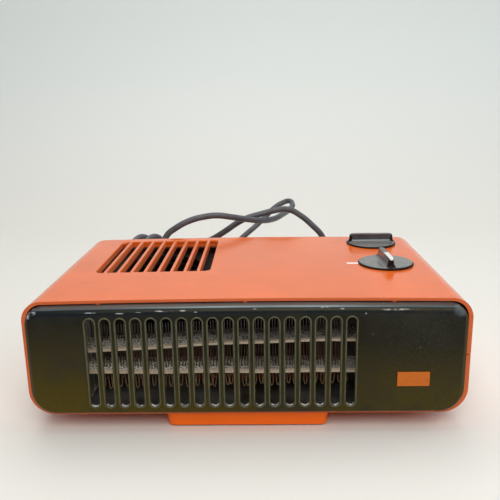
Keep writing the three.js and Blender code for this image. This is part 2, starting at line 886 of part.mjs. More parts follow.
function controlNut() {
  const hexagon = post(0, 0, bracketTop + clearance, bracketTop + clearance + nutHeight,
    nutRadius, nutSides);
  return hexagon.subtract(post(0, 0, bracketTop, neckTop + overrun, neckRadius + boreGap));
}

// Duct and element

const outletLeft = blowerX + scrollStartRadius * Math.cos(tongueAngle * Math.PI / 180);
const outletRight = blowerX + scrollEndRadius;

function ductForm(drawn, front, back) {
  const rectangle = (left, right, low, high, y) => [
    new THREE.Vector3(left + drawn, y, low + drawn), new THREE.Vector3(right - drawn, y, low + drawn),
    new THREE.Vector3(right - drawn, y, high - drawn), new THREE.Vector3(left + drawn, y, high - drawn),
  ];
  return solid(loft([
    rectangle(ductLeft, ductRight, ductBottom, ductTop, front),
    rectangle(ductLeft, ductRight, ductBottom, ductTop, ductTaperStart),
    rectangle(outletLeft, outletRight, scrollFloor, scrollTop, back),
  ]));
}

function heaterDuct() {
  const tube = ductForm(0, ductFront, ductEnd).subtract(
    ductForm(ductSheet, ductFront - overrun, ductEnd + overrun));
  return cutBy(tube, [upperBoardBar(clearance), lowerBoardBar(clearance)]);
}

function boardBar(leftHeight, rightHeight, grow) {
  const left = ductLeft - boardOverhang;
  const right = ductRight + boardOverhang;
  const shape = new THREE.Shape([
    new THREE.Vector2(left, leftHeight - grow), new THREE.Vector2(right, rightHeight - grow),
    new THREE.Vector2(right, rightHeight + boardThickness + grow),
    new THREE.Vector2(left, leftHeight + boardThickness + grow),
  ]);
  return upright(shape, boardFront - grow, boardFront + boardDepth + grow);
}

const upperBoardBar = (grow) => boardBar(upperBoardLeft, upperBoardRight, grow);
const lowerBoardBar = (grow) => boardBar(lowerBoard, lowerBoard, grow);

// The wire climbs in front, crosses over the top, drops behind and crosses under to the next
// hairpin, so that one line makes the whole winding.
const hairpinPitch = (ductRight - ductLeft - 2 * hairpinMargin) / hairpinCount;
const hairpinStart = ductLeft + hairpinMargin + hairpinPitch / 4;
const hairpinBottom = lowerBoard - hairpinDrop;
const hairpinFrontY = boardFront + boardDepth / 2 - hairpinDepth / 2;

function upperBoardAt(x) {
  const share = (x - ductLeft + boardOverhang) / (ductRight - ductLeft + 2 * boardOverhang);
  return upperBoardLeft + (upperBoardRight - upperBoardLeft) * share;
}

function hairpinLine() {
  const bendRadius = hairpinDepth / 2;
  const points = [new THREE.Vector3(hairpinStart, hairpinFrontY, hairpinBottom)];
  const bend = (start, top) => {
    for (let step = 0; step <= hairpinBends; step += 1) {
      const angle = Math.PI * step / hairpinBends;
      const backward = (1 - Math.cos(angle)) / 2;
      const x = start + hairpinPitch / 2 * step / hairpinBends;
      const arch = bendRadius * (1 - Math.sin(angle));
      const high = upperBoardAt(start) + boardThickness + hairpinRise;
      points.push(new THREE.Vector3(x,
        hairpinFrontY + hairpinDepth * (top ? backward : 1 - backward),
        top ? high - arch : hairpinBottom + arch));
    }
  };
  for (let pin = 0; pin < hairpinCount; pin += 1) {
    const x = hairpinStart + hairpinPitch * pin;
    bend(x, true);
    if (pin + 1 < hairpinCount) bend(x + hairpinPitch / 2, false);
  }
  const last = points[points.length - 1];
  points.push(new THREE.Vector3(last.x, last.y, hairpinBottom));
  return points;
}

function wireHoles() {
  return Array.from({ length: hairpinCount }, (unused, pin) => {
    const x = hairpinStart + hairpinPitch * pin;
    return [[x, hairpinFrontY], [x + hairpinPitch / 2, hairpinFrontY + hairpinDepth]];
  }).flat();
}

// Blower

// The scroll widens steadily from the tongue, round by the left and the back, to the outlet.
function scrollShape(grow, outletY) {
  const start = -tongueAngle * Math.PI / 180;
  const sweepAngle = 2 * Math.PI + start;
  const points = [new THREE.Vector2(outletLeft - grow, outletY)];
  for (let step = 0; step <= discSteps; step += 1) {
    const share = step / discSteps;
    const radius = scrollStartRadius + (scrollEndRadius - scrollStartRadius) * share + grow;
    const angle = start - sweepAngle * share;
    points.push(new THREE.Vector2(blowerX + radius * Math.cos(angle),
      blowerY + radius * Math.sin(angle)));
  }
  points.push(new THREE.Vector2(outletRight + grow, outletY));
  return new THREE.Shape(points);
}

function blowerScroll() {
  const outer = raised(scrollShape(scrollWall, scrollOutletY), scrollFloor, scrollTop);
  const inner = raised(scrollShape(0, scrollOutletY - overrun), scrollFloor + scrollSheet,
    scrollTop + overrun);
  const shaftHole = post(blowerX, blowerY, scrollFloor - overrun, scrollFloor + scrollSheet + overrun,
    bearingRadius + clearance, roundSteps);
  const screwHoles = motorScrewPlaces.map(([x, y]) => post(
    x, y, scrollFloor - overrun, scrollFloor + scrollSheet + overrun, motorScrewRadius + clearance));
  return cutBy(outer, [inner, shaftHole, ...screwHoles]);
}

function blowerCover() {
  const bottom = scrollTop + clearance;
  const top = bottom + scrollSheet;
  const plate = raised(scrollShape(scrollWall, scrollOutletY), bottom, top);
  const lip = post(blowerX, blowerY, bottom, top + inletLip, inletRadius + inletLipWall,
    discSteps);
  const inlet = post(blowerX, blowerY, bottom - overrun, top + inletLip + overrun, inletRadius,
    discSteps);
  return plate.add(lip).subtract(inlet);
}

// A blade is a thin curved vane from the eye to the rim, leaning forward as it turns.
function bladeShape() {
  const inner = wheelEyeRadius;
  const outer = wheelRadius - bladeThickness;
  const front = [];
  const back = [];
  for (let step = 0; step <= bladeSteps; step += 1) {
    const share = step / bladeSteps;
    const radius = inner + (outer - inner) * share;
    const angle = -bladeLag * Math.PI / 180 * share ** 2;
    const half = bladeThickness / 2 / radius;
    front.push(new THREE.Vector2(radius * Math.cos(angle + half), radius * Math.sin(angle + half)));
    back.unshift(new THREE.Vector2(radius * Math.cos(angle - half), radius * Math.sin(angle - half)));
  }
  return new THREE.Shape([...front, ...back]);
}

function fanWheel() {
  const plate = post(0, 0, wheelBottom, wheelBottom + wheelPlate, wheelRadius, discSteps);
  const rim = post(0, 0, wheelTop - wheelPlate, wheelTop, wheelRadius, discSteps)
    .subtract(post(0, 0, wheelTop - wheelPlate - overrun, wheelTop + overrun, wheelEyeRadius,
      discSteps));
  const hub = post(0, 0, wheelBottom, wheelBottom + wheelHubHeight, wheelHubRadius, roundSteps);
  const blade = new THREE.ExtrudeGeometry(bladeShape(), {
    depth: wheelTop - wheelBottom - wheelPlate, bevelEnabled: false,
  }).translate(0, 0, wheelBottom + wheelPlate / 2);
  const blades = Array.from({ length: bladeCount }, (unused, at) => solid(
    blade.clone().rotateZ(2 * Math.PI * at / bladeCount)));
  const bore = post(0, 0, wheelBottom - overrun, wheelBottom + wheelHubHeight + overrun,
    shaftRadius + boreGap);
  return joined([plate, rim, hub, ...blades]).subtract(bore);
}

// Motor

const motorScrewPlaces = [-1, 1].map((side) => [blowerX, blowerY + side * motorScrewOffset]);

function rectangle(x0, x1, y0, y1) {
  return [new THREE.Vector2(x0, y0), new THREE.Vector2(x1, y0), new THREE.Vector2(x1, y1),
    new THREE.Vector2(x0, y1)];
}

function motorStator() {
  const shape = new THREE.Shape(rectangle(-statorLeft, statorRight, -statorHalfDepth,
    statorHalfDepth));
  shape.holes.push(new THREE.Path().absarc(0, 0, rotorRadius + airGap, 0, 2 * Math.PI));
  shape.holes.push(new THREE.Path(rectangle(windowInner, statorRight - limbWidth,
    -windowHalfDepth, windowHalfDepth)));
  const stack = raised(shape, stackBottom, stackTop, fineSteps);
  return cutBy(stack, [-1, 1].map((side) => post(
    0, side * motorScrewOffset, stackBottom - overrun, stackTop + overrun,
    motorScrewRadius + clearance)));
}

function motorCoil() {
  const limbLeft = statorRight - limbWidth;
  const reach = windowHalfDepth - overrun;
  const coil = block(windowInner + clearance, statorRight + coilReach, -reach, reach,
    stackBottom - coilEndWall, stackTop + coilEndWall);
  return coil.subtract(block(limbLeft - clearance, statorRight + clearance, -reach - overrun,
    reach + overrun, stackBottom - clearance, stackTop + clearance));
}

// One bridge carries each bearing. Its feet stand on the stack.
function motorBridge(plateLow, footLow, footHigh) {
  const half = statorHalfDepth;
  const plate = block(-motorBridgeHalfWidth, motorBridgeHalfWidth, -half, half, plateLow,
    plateLow + motorBridgeSheet);
  const feet = [-1, 1].map((side) => block(
    -motorBridgeHalfWidth, motorBridgeHalfWidth, Math.min(side * half, side * (half - motorLegDepth)),
    Math.max(side * half, side * (half - motorLegDepth)), footLow, footHigh));
  const low = Math.min(plateLow, footLow) - overrun;
  const high = Math.max(plateLow + motorBridgeSheet, footHigh) + overrun;
  return cutBy(joined([plate, ...feet]), [
    post(0, 0, low, high, bearingRadius + clearance, roundSteps),
    ...[-1, 1].map((side) => post(0, side * motorScrewOffset, low, high,
      motorScrewRadius + clearance)),
  ]);
}

const upperBridgeLow = upperBridgeTop - motorBridgeSheet;
const upperBridge = () => motorBridge(upperBridgeLow, stackTop + clearance, upperBridgeTop);
const lowerBridge = () => motorBridge(lowerBridgeBottom, lowerBridgeBottom,
  stackBottom - clearance);

function bearing(low) {
  return post(0, 0, low, low + bearingHeight, bearingRadius, roundSteps)
    .subtract(post(0, 0, low - overrun, low + bearingHeight + overrun, shaftRadius + boreGap));
}

function motorScrew() {
  const headTop = lowerBridgeBottom - clearance;
  return turned([
    [0, headTop - screwHeadHeight], [motorScrewRadius * 2, headTop - screwHeadHeight],
    [motorScrewRadius * 2, headTop], [motorScrewRadius, headTop],
    [motorScrewRadius, scrollFloor + scrollSheet], [0, scrollFloor + scrollSheet],
  ], screwSides);
}

// Small electrical pieces

function thermalCutout() {
  const left = ductRight + clearance;
  const disc = new THREE.CylinderGeometry(cutoutRadius, cutoutRadius, cutoutThickness, roundSteps)
    .rotateZ(rightAngle).translate(left + cutoutThickness / 2, 0, 0);
  const tabs = [-1, 1].map((side) => {
    const y = side * cutoutRadius / 2;
    return block(left + cutoutThickness - clearance, left + cutoutThickness + cutoutTabLength,
      y - cutoutTabWidth / 2, y + cutoutTabWidth / 2, -cutoutTabSheet / 2, cutoutTabSheet / 2);
  });
  return joined([solid(disc), ...tabs]);
}

function terminalBlock() {
  const half = terminalWidth / 2;
  const base = block(-half, half, -terminalDepth / 2, terminalDepth / 2, 0, terminalHeight);
  const tower = terminalWidth / terminalWays - terminalTowerGap;
  const towers = Array.from({ length: terminalWays }, (unused, way) => {
    const x = (way - (terminalWays - 1) / 2) * terminalWidth / terminalWays;
    const box = block(x - tower / 2, x + tower / 2, -terminalDepth / 2, terminalDepth / 2,
      terminalHeight - clearance, terminalHeight + terminalTowerHeight);
    return box.subtract(post(x, 0, terminalHeight + clearance,
      terminalHeight + terminalTowerHeight + overrun, tower / 4));
  });
  return joined([base, ...towers]);
}

// Turned about Z and then laid along +Y, from the inner flange to the tip of the sleeve.
function cordGland() {
  const inner = -wall - clearance;
  const outer = clearance;
  const sleeve = outer + glandFlangeThickness;
  return turned([
    [0, inner - glandFlangeThickness], [glandFlangeRadius, inner - glandFlangeThickness],
    [glandFlangeRadius, inner], [glandNeckRadius, inner], [glandNeckRadius, outer],
    [glandFlangeRadius, outer], [glandFlangeRadius, sleeve], [glandNeckRadius, sleeve],
    [glandTipRadius, sleeve + glandSleeveLength], [0, sleeve + glandSleeveLength],
  ], roundSteps);
}

// Cord

const cordHeight = cordRadius + cordLift;
const plugHeight = plugRadius + cordLift;
const glandTip = backFace + clearance + glandFlangeThickness + glandSleeveLength;
const coilPitch = 2 * cordRadius + coilGap;
const cordEndStart = coilY + 2 * cordRadius + clearance;
const layerTwo = cordHeight + coilPitch;

// Behind the casing's left end the cord makes upright turns, a little out of square.
function raisedTurns() {
  const twist = THREE.MathUtils.degToRad(raisedTwist);
  const across = new THREE.Vector3(Math.sin(twist), Math.cos(twist), 0);
  const along = new THREE.Vector3(
    -raisedPitch * Math.cos(twist), raisedPitch * Math.sin(twist), -raisedFall);
  const points = [];
  for (let at = raisedFrom; at <= raisedTo; at += raisedStep) {
    const angle = THREE.MathUtils.degToRad(at);
    points.push(new THREE.Vector3(raisedX, raisedY, raisedHeight + raisedRadius * Math.sin(angle))
      .addScaledVector(along, (angle - rightAngle) / (2 * Math.PI))
      .addScaledVector(across, raisedRadius * Math.cos(angle))
      .toArray());
  }
  return points;
}

// The free stretch, from the gland to the coil, chosen by hand.
const cordRoute = [
  [glandX, glandTip + clearance, underside + glandRise], [glandX, 160, underside + glandRise],
  [97, 176, 46], [99, 184, 62], [97, 185, 82],
  [90.6, 184, 100.7], [77.9, 185, 114.8], [62.7, 187, 127.5], [47.5, 187, 135.1],
  [31, 185, 134.4], [14.5, 183, 130.8], [-3.2, 180, 127.1], [-19.6, 177, 121.5],
  [-36.1, 175, 111.4], [-52, 177, 100], [-70, 183, 90], [-88, 187, 84], ...raisedTurns(),
  [-146, 149, 74], [-143, 144, 63], [-133, 139, 56.5], [-121, 136, 60], [-113, 135.5, 72],
  [-109, 136, 87], [-105.5, 137.5, 102], [-100, 139, 114.5], [-90.5, 140, 122],
  [-72.2, 142, 131.2], [-54.2, 144, 135.4], [-39.8, 146, 136.3], [-22, 151, 133.1],
  [-5.2, 159, 128.8], [11.9, 171, 124.5], [27.2, 192, 121.5], [41.1, 223, 121.5],
  [52.6, 258, 122.4], [57.7, 281, 125.4], [53.4, 291, 128.3], [43.4, 293, 125],
  [31.7, 288, 118.5], [20.1, 280, 108.6], [5.8, 271, 96.7], [-12.6, 262, 82.8],
  [-34, 254, 64], [-52, 246, 42], [-61, 236, 22], [-64.5, 222, 9],
  [coilX - coilOuterRadius, 208, cordHeight],
  [coilX - coilOuterRadius, 194, cordHeight],
  [coilX - coilOuterRadius, cordEndStart, cordHeight],
].map(([x, y, z]) => new THREE.Vector3(x, y, z));

const cordEndRoute = [
  [coilX + coilOuterRadius, cordEndStart, layerTwo],
  [coilX + coilOuterRadius, cordEndStart + 2 * cordRadius, layerTwo],
  [coilX + coilOuterRadius, plugBack - 2 * cordRadius, plugHeight],
  [coilX + coilOuterRadius, plugBack - clearance, plugHeight],
].map(([x, y, z]) => new THREE.Vector3(x, y, z));

function cordTube(route) {
  const curve = new THREE.CatmullRomCurve3(route, false, 'centripetal');
  const section = new THREE.Shape(Array.from({ length: cordSides }, (unused, side) => {
    const angle = 2 * Math.PI * (side + 1 / 2) / cordSides;
    return new THREE.Vector2(cordRadius * Math.cos(angle), cordRadius * Math.sin(angle));
  }));
  const steps = Math.ceil(curve.getLength() / cordStep);
  return solid(new THREE.ExtrudeGeometry(section, {
    steps, extrudePath: curve, bevelEnabled: false,
  }));
}

// The coil spirals in on the table, climbs a layer in half a turn and spirals out again.
function coilLine() {
  const points = [];
  const steps = coilTurns * coilSteps;
  const at = (turn) => {
    const inward = Math.min(turn, coilTurns - turn);
    const radius = coilOuterRadius - coilPitch * inward;
    const climbed = (turn - coilTurns / 2) / coilClimb + 1 / 2;
    const height = cordHeight + coilPitch * Math.min(Math.max(climbed, 0), 1);
    const angle = Math.PI + 2 * Math.PI * turn;
    return new THREE.Vector3(coilX + radius * Math.cos(angle), coilY + radius * Math.sin(angle),
      height);
  };
  for (let step = 0; step <= steps; step += 1) points.push(at(step / coilSteps));
  const first = points[0].clone().add(new THREE.Vector3(0, 2 * cordRadius, 0));
  const last = points[points.length - 1].clone().add(new THREE.Vector3(0, 2 * cordRadius, 0));
  return [first, ...points, last];
}

// Plug with two round pins, turned about Z and then laid along +Y.
function plugBody() {
  const shoulder = plugTailLength;
  const end = plugTailLength + plugBodyLength;
  const body = turned([
    [0, 0], [plugTailRadius, 0], [plugTailRadius * 5 / 4, shoulder],
    [plugRadius * 3 / 4, shoulder + plugBodyLength / 6], [plugRadius * 4 / 5, end - plugBodyLength / 2],
    [plugRadius, end - plugBodyLength * 2 / 5], [plugRadius, end], [0, end],
  ], roundSteps);
  return cutBy(body, [-1, 1].map((side) => post(
    side * plugPinSpacing / 2, 0, end - plugBodyLength / 4, end + overrun,
    plugPinRadius + clearance)));
}

function plugPin() {
  const end = plugTailLength + plugBodyLength;
  const low = end - plugBodyLength / 4 + clearance;
  const high = end + plugPinLength;
  return turned([
    [0, low], [plugPinRadius, low], [plugPinRadius, high - plugPinRadius / 2],
    [plugPinRadius / 2, high], [0, high],
  ]);
}

// The assembly

const heater = new THREE.Group();

function place(name, shape, material, position = [0, 0, 0], rotation = [0, 0, 0]) {
  const geometry = shape.isBufferGeometry ? shape : skin(shape);
  const mesh = new THREE.Mesh(geometry, material());
  mesh.name = name;
  mesh.position.set(...position);
  mesh.rotation.set(...rotation);
  heater.add(mesh);
}

place('lower_shell', lowerShell(), orangePlastic);
place('upper_shell', upperShell(), orangePlastic);
place('front_grille', frontGrille(), blackPlastic);
place('badge_plate', badgeBlock(0, badgeSunk - clearance, badgeThickness - badgeSunk + clearance),
  badgeOrange);
place('index_mark', indexBlock(0, indexSunk - clearance, indexProud), whitePlastic);

place('foot', foot(), orangePlastic);
padPlaces.forEach(([x, y], at) => {
  place(`foot_pad_${at + 1}`, post(x, y, 0, padThickness, padRadius, fineSteps), rubber);
});
footScrewPlaces.forEach(([x, y], at) => {
  const head = footTop - footWall - clearance;
  place(`foot_screw_${at + 1}`, screw(footScrewLength), brightSteel, [x, y, head]);
});
casingScrewPlaces.forEach(([x, y], at) => {
  const head = seam - casingScrewDepth - clearance;
  place(`casing_screw_${at + 1}`, screw(casingScrewLength), brightSteel, [x, y, head]);
});

place('thermostat_knob', knob(), blackPlastic, [knobX, frontKnobY, 0]);
place('thermostat_pointer', pointer(), whitePlastic, [knobX, frontKnobY, 0]);
place('thermostat_spindle', spindle(), brightSteel, [knobX, frontKnobY, 0]);
place('thermostat_body', thermostatBody(), bakelite, [knobX, frontKnobY, 0]);
place('thermostat_nut', controlNut(), brightSteel, [knobX, frontKnobY, 0]);
place('switch_knob', knob(), blackPlastic, [knobX, rearKnobY, 0], [0, 0, -rightAngle]);
place('switch_pointer', pointer(), whitePlastic, [knobX, rearKnobY, 0], [0, 0, -rightAngle]);
place('switch_spindle', spindle(), brightSteel, [knobX, rearKnobY, 0]);
place('switch_body', switchBody(), bakelite, [knobX, rearKnobY, 0]);
place('switch_nut', controlNut(), brightSteel, [knobX, rearKnobY, 0]);
place('control_bracket', controlBracket(), zincSteel);

const wireLine = hairpinLine();
const across = new THREE.Vector3(1, 0, 0);
const holes = wireHoles().map(([x, y]) => post(x, y, ductBottom, ductTop,
  (wireRadius + clearance) * Math.SQRT2, wireSides));
place('heater_duct', heaterDuct(), zincSteel);
place('mica_board_upper', cutBy(upperBoardBar(0), holes), mica);
place('mica_board_lower', cutBy(lowerBoardBar(0), holes), mica);
place('element_wire', sweep(wireLine, wireRadius, wireSides, across), nichrome);
place('thermal_cutout', thermalCutout(), bakelite,
  [0, boardFront + cutoutSetBack, ductTop - cutoutDrop]);

place('blower_scroll', blowerScroll(), zincSteel);
place('blower_cover', blowerCover(), zincSteel);
const blowerPlace = [blowerX, blowerY, 0];
place('fan_wheel', fanWheel(), blackPlastic, blowerPlace);
place('motor_shaft', post(0, 0, shaftBottom, shaftTop, shaftRadius), brightSteel, blowerPlace);
place('motor_rotor', post(0, 0, stackBottom, stackTop, rotorRadius, roundSteps)
  .subtract(post(0, 0, stackBottom - overrun, stackTop + overrun, shaftRadius + boreGap)),
laminations, blowerPlace);
place('motor_stator', motorStator(), laminations, blowerPlace);
place('motor_coil', motorCoil(), copper, blowerPlace);
place('motor_bridge_upper', upperBridge(), zincSteel, blowerPlace);
place('motor_bridge_lower', lowerBridge(), zincSteel, blowerPlace);
place('bearing_upper', bearing(upperBridgeTop - bearingHeight), bronze, blowerPlace);
place('bearing_lower', bearing(lowerBridgeBottom), bronze, blowerPlace);
motorScrewPlaces.forEach(([x, y], at) => {
  place(`motor_screw_${at + 1}`, motorScrew(), brightSteel, [x, y, 0]);
});

place('terminal_block', terminalBlock(), bakelite,
  [rightSide - terminalInset, backFace - terminalBackInset, floorTop + clearance]);
place('cord_gland', cordGland(), rubber, [glandX, backFace, underside + glandRise],
  [-rightAngle, 0, 0]);
const coil = coilLine();
const upward = new THREE.Vector3(0, 0, 1);
place('cord_run', cordTube(cordRoute), rubber);
place('cord_coil', sweep(coil, cordRadius, coilSides, upward), rubber);
place('cord_end', cordTube(cordEndRoute), rubber);
const plugPlace = [coilX + coilOuterRadius, plugBack, plugHeight];
place('plug_body', plugBody(), rubber, plugPlace, [-rightAngle, 0, 0]);
[-1, 1].forEach((side, at) => {
  place(`plug_pin_${at + 1}`, plugPin(), brass,
    [plugPlace[0] + side * plugPinSpacing / 2, plugBack, plugHeight], [-rightAngle, 0, 0]);
});

const winding = leastGap(wireLine, wireRadius, 2 * hairpinPitch);
const coiled = leastGap(coil, cordRadius, 4 * coilPitch);
console.log(`least gap in the winding ${winding.toFixed(2)} mm, in the coil ${coiled.toFixed(2)} mm`);

export default heater;
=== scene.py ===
"""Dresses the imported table-top fan heater: moulded casing, slotted panel, knobs, element and cord."""

import math

import bmesh
import bpy
from mathutils import Matrix, Vector


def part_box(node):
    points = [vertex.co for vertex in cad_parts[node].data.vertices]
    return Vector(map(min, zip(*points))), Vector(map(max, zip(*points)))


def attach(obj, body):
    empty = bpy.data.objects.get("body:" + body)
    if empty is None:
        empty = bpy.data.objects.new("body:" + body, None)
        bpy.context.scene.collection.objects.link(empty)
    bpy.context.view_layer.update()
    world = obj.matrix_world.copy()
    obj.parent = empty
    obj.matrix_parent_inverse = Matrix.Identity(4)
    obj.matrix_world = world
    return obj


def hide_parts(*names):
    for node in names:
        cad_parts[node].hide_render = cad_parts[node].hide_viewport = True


bl_info = {
    "name": "Table-top fan heater",
    "version": (1, 0, 0),
    "blender": (4, 5, 0),
    "location": "View3D > Sidebar > Heater",
    "description": "Dresses the packed fan heater with finished pieces, a stage and a camera",
    "category": "Object",
}

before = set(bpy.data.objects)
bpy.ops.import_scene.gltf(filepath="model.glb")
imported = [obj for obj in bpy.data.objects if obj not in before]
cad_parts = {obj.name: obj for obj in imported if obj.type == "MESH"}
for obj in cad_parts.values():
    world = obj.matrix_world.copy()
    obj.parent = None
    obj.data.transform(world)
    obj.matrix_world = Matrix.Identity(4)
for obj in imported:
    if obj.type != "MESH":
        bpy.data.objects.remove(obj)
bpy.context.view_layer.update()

MM = 0.001
QUARTER = math.pi / 2
FOUR = (1, 2, 3, 4)
# How close to a plane a point counts as on it, in millimetres
FLUSH = 0.01

# The cord's route, in millimetres: from the gland up to the left, from the upright turns down to the
# coil, and from the coil to the plug
CORD_RISE = (
    (95, 150.55, 38.5), (95, 160, 38.5), (97, 176, 46), (99, 184, 62), (97, 185, 82),
    (90.6, 184, 100.7), (77.9, 185, 114.8), (62.7, 187, 127.5), (47.5, 187, 135.1),
    (31, 185, 134.4), (14.5, 183, 130.8), (-1.2, 180, 127.1), (-15.2, 177, 121.5),
    (-30.8, 175, 111.4), (-49, 177, 100), (-70, 183, 90), (-88, 187, 84),
)
CORD_FALL = (
    (-146, 149, 74), (-143, 144, 63), (-133, 139, 56.5), (-121, 136, 60), (-113, 135.5, 72),
    (-109, 136, 87), (-105.5, 137.5, 102), (-100, 139, 114.5), (-90.5, 140, 122),
    (-72.2, 142, 131.2), (-54.2, 144, 135.4), (-39.8, 146, 136.3), (-22, 151, 133.1),
    (-5.2, 159, 128.8), (11.9, 171, 124.5), (27.2, 192, 121.5), (41.1, 223, 121.5),
    (52.6, 258, 122.4), (57.7, 281, 125.4), (53.4, 291, 128.3), (43.4, 293, 125),
    (31.7, 288, 118.5), (20.1, 280, 108.6), (5.8, 271, 96.7), (-12.6, 262, 82.8),
    (-34, 254, 64), (-52, 246, 42), (-61, 236, 22), (-64.5, 222, 9), (-65, 208, 3.85),
    (-65, 194, 3.85),
)
CORD_TAIL = ((31, 187.3, 11.95), (31, 206.5, 18.6), (31, 213.7, 18.6))


def box_mm(*nodes):
    """The lowest and highest corner of some CAD nodes together, in millimetres."""
    corners = [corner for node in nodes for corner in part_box(node)]
    low = Vector(min(corner[axis] for corner in corners) for axis in range(3))
    high = Vector(max(corner[axis] for corner in corners) for axis in range(3))
    return low / MM, high / MM


def centre_of(node):
    """The middle of a node across and along, in millimetres."""
    low, high = box_mm(node)
    return (low.x + high.x) / 2, (low.y + high.y) / 2


def centres(kind):
    """The middles of the four nodes of a kind."""
    return [centre_of(f"{kind}_{at}") for at in FOUR]


def lying(node):
    """The middle of a lying node across and upwards, and its near and far end, in millimetres."""
    low, high = box_mm(node)
    return (low.x + high.x) / 2, (low.z + high.z) / 2, low.y, high.y


CASING_LOW, CASING_HIGH = box_mm("lower_shell", "upper_shell")
PANEL_LOW, PANEL_HIGH = box_mm("front_grille")


def length(name, description, default):
    """A size in millimetres that a user can change."""
    return bpy.props.FloatProperty(name=name, description=description, default=default, min=0)


def place(name, description, default):
    """A place along an axis, in millimetres, that a user can change."""
    return bpy.props.FloatProperty(name=name, description=description, default=default)


def number(name, description, default):
    """A whole number that a user can change."""
    return bpy.props.IntProperty(name=name, description=description, default=default, min=1)


def colour(name, description, default):
    """A plain colour that a user can change."""
    return bpy.props.FloatVectorProperty(
        name=name, description=description, default=default, subtype="COLOR", min=0, max=1,
    )


class HeaterCasing(bpy.types.PropertyGroup):
    """Sizes of the sleeve, its window and the foot, in millimetres"""

    wall: length("Wall", "Thickness of the moulded sleeve", 2.8)
    side_lip: length("Side lip", "How much thicker the front rim is at the sides", 1)
    corner: length("Corner", "Radius of the upper long edges", 17.5)
    low_corner: length("Low corner", "Radius of the lower long edges", 21.5)
    back_corner: length("Back corner", "Radius of the edges round the back", 5)
    crown: length("Crown", "Rise of the top's middle over its sides", 1.5)
    rim_edge: length("Rim edge", "Radius of the edges of the front rim", 0.35)
    seam_height: length("Seam height", "Height of the parting line above the table", 65.4)
    seam_gap: length("Seam gap", "Width of the parting line", 0.8)
    vent_gap: length("Vent gap", "Width of one opening of the window", 9.3)
    vent_pitch: length("Vent pitch", "Distance between openings of the window", 12.7)
    vent_count: number("Vents", "Openings in the window", 9)
    vent_depth: length("Vent depth", "Length of the window to the back", 127)
    vent_shift: length("Vent shift", "How far the window stands to the left of the blower's middle", 1.1)
    vent_less: length("Vent less", "How much narrower the window's first opening is", 1.3)
    vent_corner: length("Vent corner", "Radius of the window's corners", 7)
    vent_edge: length("Vent edge", "Radius of the edge round each opening", 1.2)
    rib_depth: length("Rib depth", "Height of a rib", 9.3)


class HeaterPanel(bpy.types.PropertyGroup):
    """Sizes of the slotted panel, in millimetres"""

    wall: length("Wall", "Thickness of the panel", 2.5)
    corner: length("Corner", "Radius of the outline's upper corners", 16)
    low_corner: length("Low corner", "Radius of the outline's lower corners", 21)
    rounding: length("Rounding", "Depth of the rounded rim", 8)
    side_draw: length("Side draw", "How far the rim draws in at the sides", 5.5)
    top_draw: length("Top draw", "How far the rim draws in at the top", 7.2)
    taller: length("Taller", "How far the upper edge stands over the plain model's", 0.7)
    right_inset: length("Right inset", "How far the right end stands in from the plain model's", 0.9)
    foot_draw: length("Foot draw", "How far the rim draws in at the bottom", 4)
    crown: length("Crown", "Rise of the upper edge's middle over its ends", 1.5)
    slot_count: number("Slots", "Number of slots", 18)
    slot_pitch: length("Slot pitch", "Distance between slots", 12.53)
    slot_middle: place("Slot middle", "Middle of the row of slots", -20.5)
    slot_width: length("Slot width", "Width of one slot", 7.4)
    slot_bottom: length("Slot bottom", "Height of the slots' lower ends", 24.5)
    slot_top: length("Slot top", "Height of the slots' upper ends", 102.3)
    bead_width: length("Bead width", "Width of the bead round a slot", 1.5)
    bead_proud: length("Bead proud", "How far a bead stands out of the panel", 0.9)


class HeaterKnobs(bpy.types.PropertyGroup):
    """Sizes of the two knobs, in millimetres"""

    radius: length("Radius", "Radius of the disc's foot", 26.6)
    top_radius: length("Top radius", "Radius of the disc's top", 24.9)
    disc: length("Disc", "Height of the disc", 1.8)
    grip_length: length("Grip length", "Length of the grip", 47.2)
    grip_foot: length("Grip foot", "Length of the grip where it meets the disc", 52.4)
    grip_width: length("Grip width", "Width of the grip's upper part", 5.4)
    grip_waist: length("Grip waist", "Width of the grip over its hollow flanks", 6)
    grip_flare: length("Grip flare", "Width of the grip's foot", 12.5)
    grip_hollow: length("Grip hollow", "Height of the hollow at the grip's foot", 4.4)
    grip_skirt: length("Grip skirt", "How far the grip's ends reach down over the disc", 1.2)
    grip_end: length("Grip end", "Radius of the grip's upper ends, seen from the side", 3)
    grip_edge: length("Grip edge", "Radius of the long edges of the grip's top", 0.4)
    pointer: length("Pointer", "Length of the white pointer along the grip's top", 24)
    pointer_width: length("Pointer width", "Width of the white pointer", 4.4)


class HeaterElement(bpy.types.PropertyGroup):
    """Sizes of the element's boards and winding, in millimetres"""

    loops: number("Loops", "Wire loops across", 44)
    wire: length("Wire", "Radius of the wire", 0.45)
    drop: length("Drop", "How far the loops hang under the lower board", 15)
    rise: length("Rise", "How far the rear loops stand over the upper board", 17)
    board_slope: length("Board slope", "How far a board's back stands over its front", 3)


class HeaterCord(bpy.types.PropertyGroup):
    """Sizes of the mains cord, in millimetres"""

    radius: length("Radius", "Radius of the cord", 3.75)
    coil_x: place("Coil X", "Middle of the coil", -17)
    coil_y: place("Coil Y", "Middle of the coil", 172)
    coil_radius: length("Coil radius", "Radius of the outer turn", 48)
    coil_turns: bpy.props.FloatProperty(name="Turns", description="Turns in the coil", default=2.5)
    coil_gap: length("Coil gap", "Gap between turns", 0.6)


